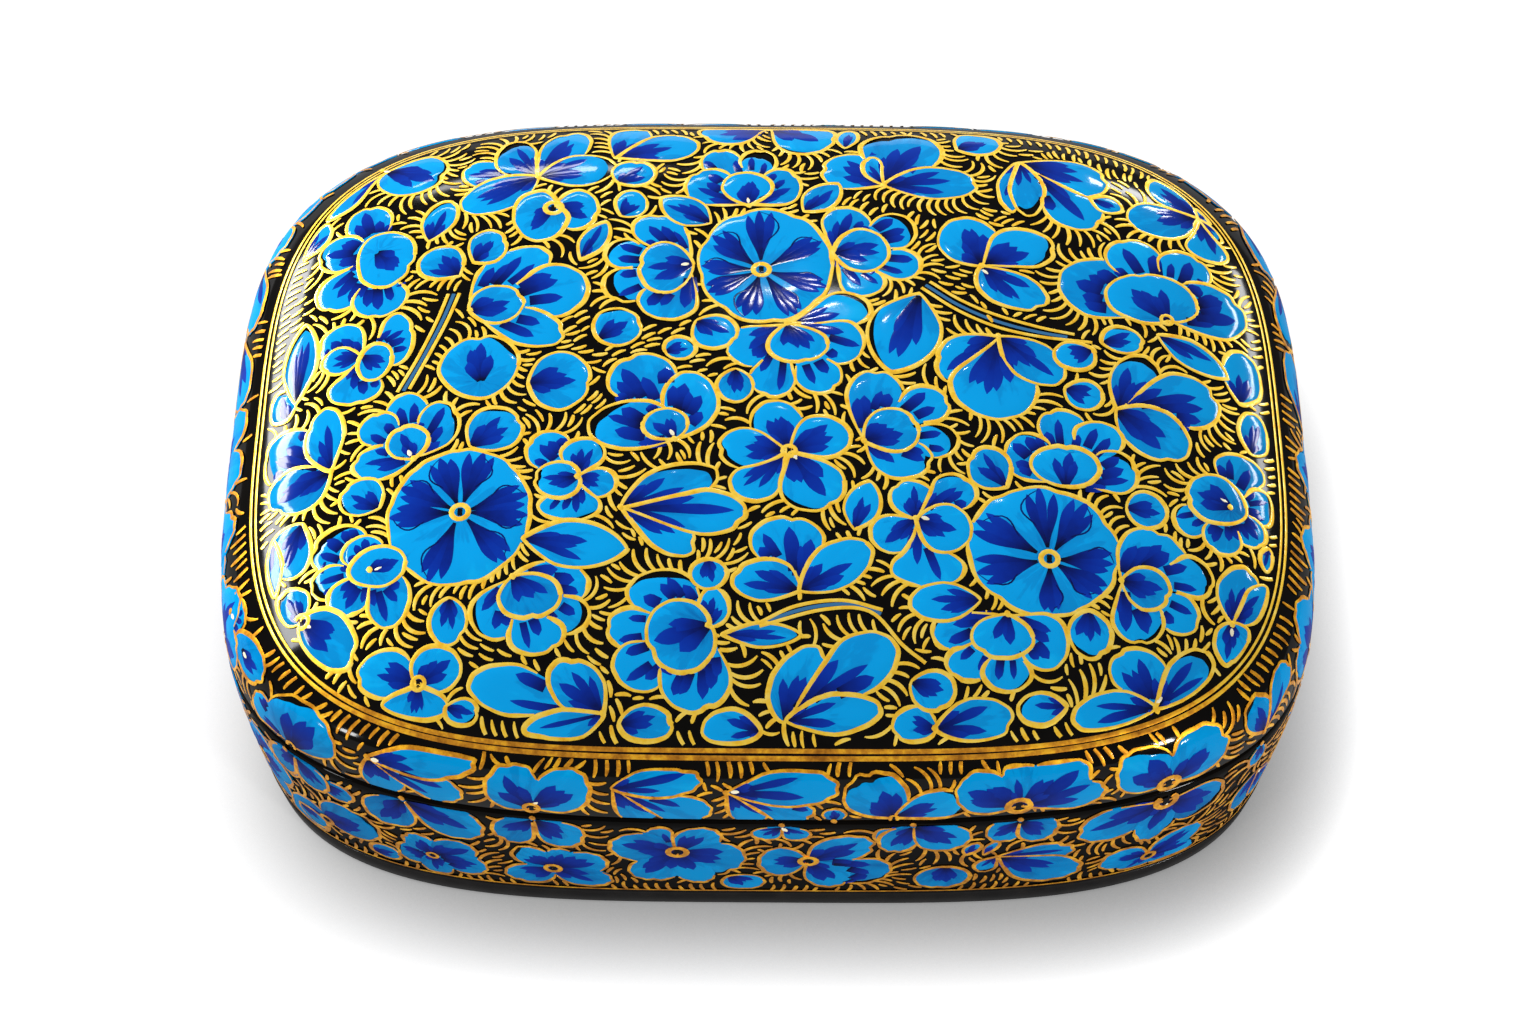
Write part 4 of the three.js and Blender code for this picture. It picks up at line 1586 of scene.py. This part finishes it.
def lid_side_row(sheet, start, end):
    """Flowers by rule where the photograph doesn't show the lid's side."""
    rng = sheet.rng
    at = start
    while at < end:
        pattern = rng.integers(0, 3)
        width = rng.uniform(9.8, 11.6)
        x = at + width / 2
        if pattern == 0:
            flower(sheet, (x, 23.2), [(x - 2.8, 26.3, 7.6, 6.6, 112), (x + 2.9, 26.2, 7.8, 6.8, 62)], 0.95)
        elif pattern == 1:
            side = rng.choice((-1, 1))
            flower(sheet, (x - 5 * side, 26.9), [
                (x - 2.2 * side, 24, 5.2, 4.6, 105),
                (x + 2.6 * side, 24, 6.2, 4.6),
                (x + 0.8 * side, 27.6, 10.2, 4.4, 5 * side),
            ])
        else:
            flower(sheet, (x, 22.3), [
                (x - 3.4, 24.6, 5.6, 5, 140),
                (x + 3.4, 24.8, 5.6, 5, 40),
                (x, 26.3, 6.4, 6),
            ], 0.6)
        at += width + rng.uniform(0.2, 1.2)


def tray_side_row(sheet, start, end):
    """Flowers by rule where the photograph doesn't show the tray's side."""
    rng = sheet.rng
    at = start
    while at < end - 6:
        width = rng.uniform(11.8, 15)
        x = at + width / 2
        z = rng.uniform(10.2, 12.8)
        count = rng.integers(4, 7)
        turn = rng.uniform(0, 90)
        petals = []
        for i in range(count):
            angle = math.radians(turn + 360 / count * (i + rng.uniform(-0.12, 0.12)))
            spread = rng.uniform(3.0, 3.8)
            size = rng.uniform(5.4, 6.8)
            across = size * rng.uniform(0.95, 1.1) * 4.3 / count
            away_x, away_z = spread * math.cos(angle), spread * math.sin(angle)
            petals.append((x + away_x, z + away_z, size, across, math.degrees(angle)))
        flower(sheet, (x, z), petals, 0.9)
        end_x = x + width / 2
        flower(sheet, (end_x, 20.9), [(end_x - 2.1, 18.1, 4.2, 5), (end_x + 2.1, 18, 4.4, 5)])
        bud_x = end_x + rng.uniform(-0.4, 0.4)
        buds(sheet, [((bud_x, 6.9, 4.6, 4), (bud_x - 1.6, 8.2))])
        at += width


def side_edge_strokes(sheet, lines, z, spacing, rise):
    """Short curved strokes that stand on a gold line round the side."""
    rng = sheet.rng
    for at in np.arange(sheet.low[0] + 0.5, sheet.end[0], spacing):
        if math.sin(at * 0.31) + math.sin(at * 0.173 + 2) < -0.9:
            continue
        root = np.array([at + rng.uniform(-0.1, 0.1), z])
        side = 1 if math.sin(at * 0.09) > 0 else -1
        turn = rise * math.pi / 2 - 0.5 * side
        path = grow_line(sheet, root, turn, side * math.radians(24), rng.uniform(1.2, 2.4))
        if len(path) > 5:
            add_lash(sheet, lines, path, 0.8, 0.45)


def lid_side_extra(sheet, _gold, _dark, lashes):
    """A comb under the shoulder."""
    side_edge_strokes(sheet, lashes, LID_STROKES_Z, spacing=1.25, rise=-1.0)


def tray_side_extra(sheet, gold, _dark, lashes):
    """A gold line round the foot, and the comb that stands on it."""
    way = np.linspace(-PERIMETER / 2, PERIMETER / 2, 481)
    line = np.stack([way, np.full(len(way), TRAY_LINE_Z)], -1)
    line = np.concatenate([line, line[1:2] + (PERIMETER, 0)])
    gold.add(sheet.place, line, 0.15, LINE_HEIGHT)
    side_edge_strokes(sheet, lashes, TRAY_STROKES_Z, spacing=1.3, rise=1.0)


def side_sheet(place, heights, seed, keep, petal_shade, gold_shade):
    """The map of a side, where flowers with an eye have joined petals."""
    low_z, high_z = heights
    sheet = Map(place, (-PERIMETER / 2, low_z), (PERIMETER / 2, high_z), seed, keep, petal_shade)
    sheet.joins_petals = True
    sheet.outline_half = 0.205
    sheet.edge_waves = 4.0
    sheet.lash_spacing = 1.1
    # painted shade of the side's gold
    sheet.gold_shade = gold_shade
    return sheet


def leave_free(sheet, low_z, high_z):
    """Only the cells between two heights stay free."""
    sheet.take_where(lambda points: (points[:, 1] < low_z) | (points[:, 1] > high_z), (0, 0), sheet.size)


def lid_side_sheet():
    # the lid side's gold gets painted shade
    sheet = side_sheet(lid_side_place, LID_MAP, seed=23, keep=lid_band_keep, petal_shade=0.0, gold_shade=0.26)
    plant(sheet, LID_SIDE_FLOWERS)
    lid_side_row(sheet, RIGHT_ROW_START, PERIMETER / 2 - 4)
    lid_side_row(sheet, -PERIMETER / 2, LID_ROW_END)
    leave_free(sheet, *LID_FREE_BAND)
    return sheet


def tray_side_sheet():
    # the tray's petals get painted shade, and its gold more painted shade
    sheet = side_sheet(tray_side_place, TRAY_MAP, seed=37, keep=tray_band_keep, petal_shade=-0.1, gold_shade=0.3)
    plant(sheet, TRAY_SIDE_FLOWERS)
    buds(sheet, TRAY_SIDE_BUDS)
    tray_side_row(sheet, RIGHT_ROW_START, PERIMETER / 2)
    tray_side_row(sheet, -PERIMETER / 2, TRAY_ROW_END)
    leave_free(sheet, *TRAY_FREE_BAND)
    return sheet


# Marks where petals meet, and the meshes of each map

def bead(sheet, x, y, gold):
    """A thick drop of gold where the petals' outlines meet."""
    path = np.array([x, y]) + np.array([[-0.3, -0.12], [-0.1, 0], [0.1, 0.04], [0.3, 0.1]])
    gold.add(sheet.place, path, (0.22, 0.42, 0.42, 0.2), TOP_LAYER)


def painted_glint_dab(sheet, x, y, gold):
    """A small pale dab on a petal, near the point where petals meet: a painted glint on thick paint."""
    petals = [petal for petal in sheet.petals if tuple(petal["base"]) == (x, y)]
    if not petals:
        return
    ray = petals[-1]["middle"] - (x, y)
    ray /= max(np.linalg.norm(ray), 1e-6)
    offset = sheet.rng.uniform(-0.5, 0.5) * left_of(ray)
    path = np.array([x, y]) + offset + ray * np.linspace(0.5, 1.4, 4)[:, None]
    widths = np.array([0.12, 0.28, 0.26, 0.1]) * sheet.rng.uniform(0.7, 1.1)
    gold.add(sheet.place, path, widths, TOP_LAYER, (-0.6, -0.5))


def paint_marks(sheet, gold, dark):
    for x, y, radius in sheet.marks:
        if radius:
            eye(sheet, x, y, radius, gold, dark)
        elif sheet.rng.random() < 0.7:
            bead(sheet, x, y, gold)
        # now and then a painted glint near the meeting point
        if sheet.rng.random() < 0.3:
            painted_glint_dab(sheet, x, y, gold)


def finish_painting(area, body, sheet, extra):
    """Turns what was painted on one map into its meshes."""
    paint, dark = PetalPaint(), LinePaint()
    # gold lines and lashes carry the map's painted shade
    gold, lashes = LinePaint(sheet.gold_shade), LinePaint(sheet.gold_shade)
    paint_petals(sheet, paint, gold, dark)
    paint_marks(sheet, gold, dark)
    extra(sheet, gold, dark, lashes)
    eyelashes(sheet, lashes)
    strokes_between(sheet, lashes)
    turquoise, ultramarine, shell_gold = PAINTS[area]
    piece(area + "_petals", paint.mesh(area + "_petals", turquoise), body)
    for kind, lines, material, relief in (
        ("_petal_strokes", dark, ultramarine, STROKE_RELIEF),
        ("_gold_outlines", gold, shell_gold, GOLD_RELIEF),
        ("_gold_lashes", lashes, shell_gold, GOLD_RELIEF),
    ):
        piece(area + kind, lines.mesh(area + kind, material, relief), body)


finish_painting("lid_top", "lid", top_sheet(), top_extra)
finish_painting("lid_side", "lid", lid_side_sheet(), lid_side_extra)
finish_painting("tray", "tray", tray_side_sheet(), tray_side_extra)


# Camera, solved from the photograph: a long lens, 53 degrees above the table

CAMERA_ELEVATION = math.radians(53.08)
CAMERA_YAW = math.radians(-0.42)
CAMERA_ROLL = math.radians(0.73)
CAMERA_DISTANCE = 442.7
CAMERA_SHIFT = (-0.04, -4.15)
AIM_HEIGHT = 20.0
SENSOR_WIDTH = 36.0
PHOTO_WIDTH_PX = 1536
FOCAL_LENGTH_PX = 3777.5
CLIP_START = 0.01


def add_camera():
    back = Vector((
        math.sin(CAMERA_YAW) * math.cos(CAMERA_ELEVATION),
        -math.cos(CAMERA_YAW) * math.cos(CAMERA_ELEVATION),
        math.sin(CAMERA_ELEVATION),
    ))
    level_right = Vector((0, 0, 1)).cross(back).normalized()
    level_up = back.cross(level_right)
    right = level_right * math.cos(CAMERA_ROLL) + level_up * math.sin(CAMERA_ROLL)
    up = -level_right * math.sin(CAMERA_ROLL) + level_up * math.cos(CAMERA_ROLL)
    place = Vector((0, 0, AIM_HEIGHT)) + back * CAMERA_DISTANCE
    place += right * CAMERA_SHIFT[0] + up * CAMERA_SHIFT[1]
    camera = bpy.data.cameras.new("camera")
    camera.sensor_width = SENSOR_WIDTH
    camera.lens = FOCAL_LENGTH_PX / PHOTO_WIDTH_PX * SENSOR_WIDTH
    camera.clip_start = CLIP_START
    made = bpy.data.objects.new("camera", camera)
    turn = Matrix((right, up, back)).transposed().to_4x4()
    made.matrix_world = Matrix.Translation(place * MM) @ turn
    bpy.context.scene.collection.objects.link(made)
    bpy.context.scene.camera = made


# Table and lamps. The table's plain white carries a painted shadow: it darkens near the box, most at the
# front right, where its lean points at it.

FLOOR_HALF = 3.0
FLOOR_DROP = 0.0002
FLOOR_GREY = 0.22
FLOOR_WHITE = 0.82
FLOOR_SHADE_REACH = 0.0112
FLOOR_SHADE_POWER = 1.7
FLOOR_LEAN = (-0.47, 0.48, 0.74)
KEY_ROLL = 35.0
WORLD_GREY = 0.3


def add_floor():
    """A white table: its own colour takes the lamps' shadow, and a share of plain white keeps it bright,
    darkened near the box by a painted shadow.
    """
    mesh = bpy.data.meshes.new("floor")
    corners = [(x * FLOOR_HALF, y * FLOOR_HALF, 0) for x, y in ((-1, -1), (1, -1), (1, 1), (-1, 1))]
    mesh.from_pydata(corners, [], [(0, 1, 2, 3)])
    floor = bpy.data.objects.new("floor", mesh)
    floor.location.z = -FLOOR_DROP
    bpy.context.scene.collection.objects.link(floor)
    material = bpy.data.materials.new("white_table")
    material.use_nodes = True
    tree = material.node_tree
    tree.nodes.clear()
    rays = add_node(tree, "ShaderNodeLightPath")
    seen = node_math(tree, "ADD", rays.outputs["Is Camera Ray"], rays.outputs["Is Glossy Ray"])
    lean = add_node(tree, "ShaderNodeCombineXYZ", dict(enumerate(FLOOR_LEAN)))
    # painted shadow: occlusion that leans to the rear left darkens the plain white near the box
    painted_shadow_occlusion = add_node(tree, "ShaderNodeAmbientOcclusion", {
        "Distance": FLOOR_SHADE_REACH,
        "Normal": lean.outputs[0],
    }, samples=12)
    open_share = node_math(tree, "POWER", painted_shadow_occlusion.outputs["AO"], FLOOR_SHADE_POWER)
    seen = node_math(tree, "MULTIPLY", seen, node_math(tree, "MULTIPLY", open_share, FLOOR_WHITE))
    grey = (FLOOR_GREY, FLOOR_GREY, FLOOR_GREY, 1)
    paper = add_node(tree, "ShaderNodeBsdfDiffuse", {"Color": grey})
    white = add_node(tree, "ShaderNodeEmission", {"Strength": seen})
    both = add_node(tree, "ShaderNodeAddShader", {0: paper.outputs[0], 1: white.outputs[0]})
    add_node(tree, "ShaderNodeOutputMaterial", {"Surface": both.outputs[0]})
    mesh.materials.append(material)


def add_softbox(name, azimuth, elevation, distance, size, watts, roll=0.0, casts=True):
    """A rectangular studio lamp that faces the box, azimuth 0 in front and 90 to the right."""
    turn, rise = math.radians(azimuth), math.radians(elevation)
    away = Vector((math.sin(turn) * math.cos(rise), -math.cos(turn) * math.cos(rise), math.sin(rise)))
    lamp = bpy.data.lights.new(name, "AREA")
    lamp.shape = "RECTANGLE"
    lamp.size, lamp.size_y = size
    lamp.energy = watts
    lamp.use_shadow = casts
    made = bpy.data.objects.new(name, lamp)
    made.location = away * distance + Vector((0, 0, AIM_HEIGHT * MM))
    facing = away.to_track_quat("Z", "Y").to_matrix() @ Matrix.Rotation(math.radians(roll), 3, "Z")
    made.rotation_euler = facing.to_euler()
    bpy.context.scene.collection.objects.link(made)


def set_world(grey):
    world = bpy.data.worlds.new("studio")
    world.use_nodes = True
    background = world.node_tree.nodes["Background"]
    background.inputs["Color"].default_value = (1, 1, 1, 1)
    background.inputs["Strength"].default_value = grey
    bpy.context.scene.world = world


add_camera()
add_floor()
set_world(WORLD_GREY)
add_softbox("key_softbox", -121, 25.5, 0.9, (0.82, 0.12), 11.7, KEY_ROLL, casts=False)
add_softbox("left_fill", -48, 12, 1.2, (0.12, 0.12), 2.8)
add_softbox("right_fill", 42, 18, 1.2, (0.12, 0.12), 8.0)
add_softbox("right_softbox", 131, 18, 1.0, (0.36, 0.05), 1.7, -KEY_ROLL, casts=False)
add_softbox("rear_glint_lamp", 178, 45, 1.0, (0.034, 0.02), 0.26, casts=False)
add_softbox("rear_left_lamp", -168, 22, 1.0, (0.3, 0.05), 1.0, casts=False)
add_softbox("rear_right_lamp", 158, 16, 1.0, (0.14, 0.08), 1.3, casts=False)
bpy.context.scene.view_settings.view_transform = "Standard"
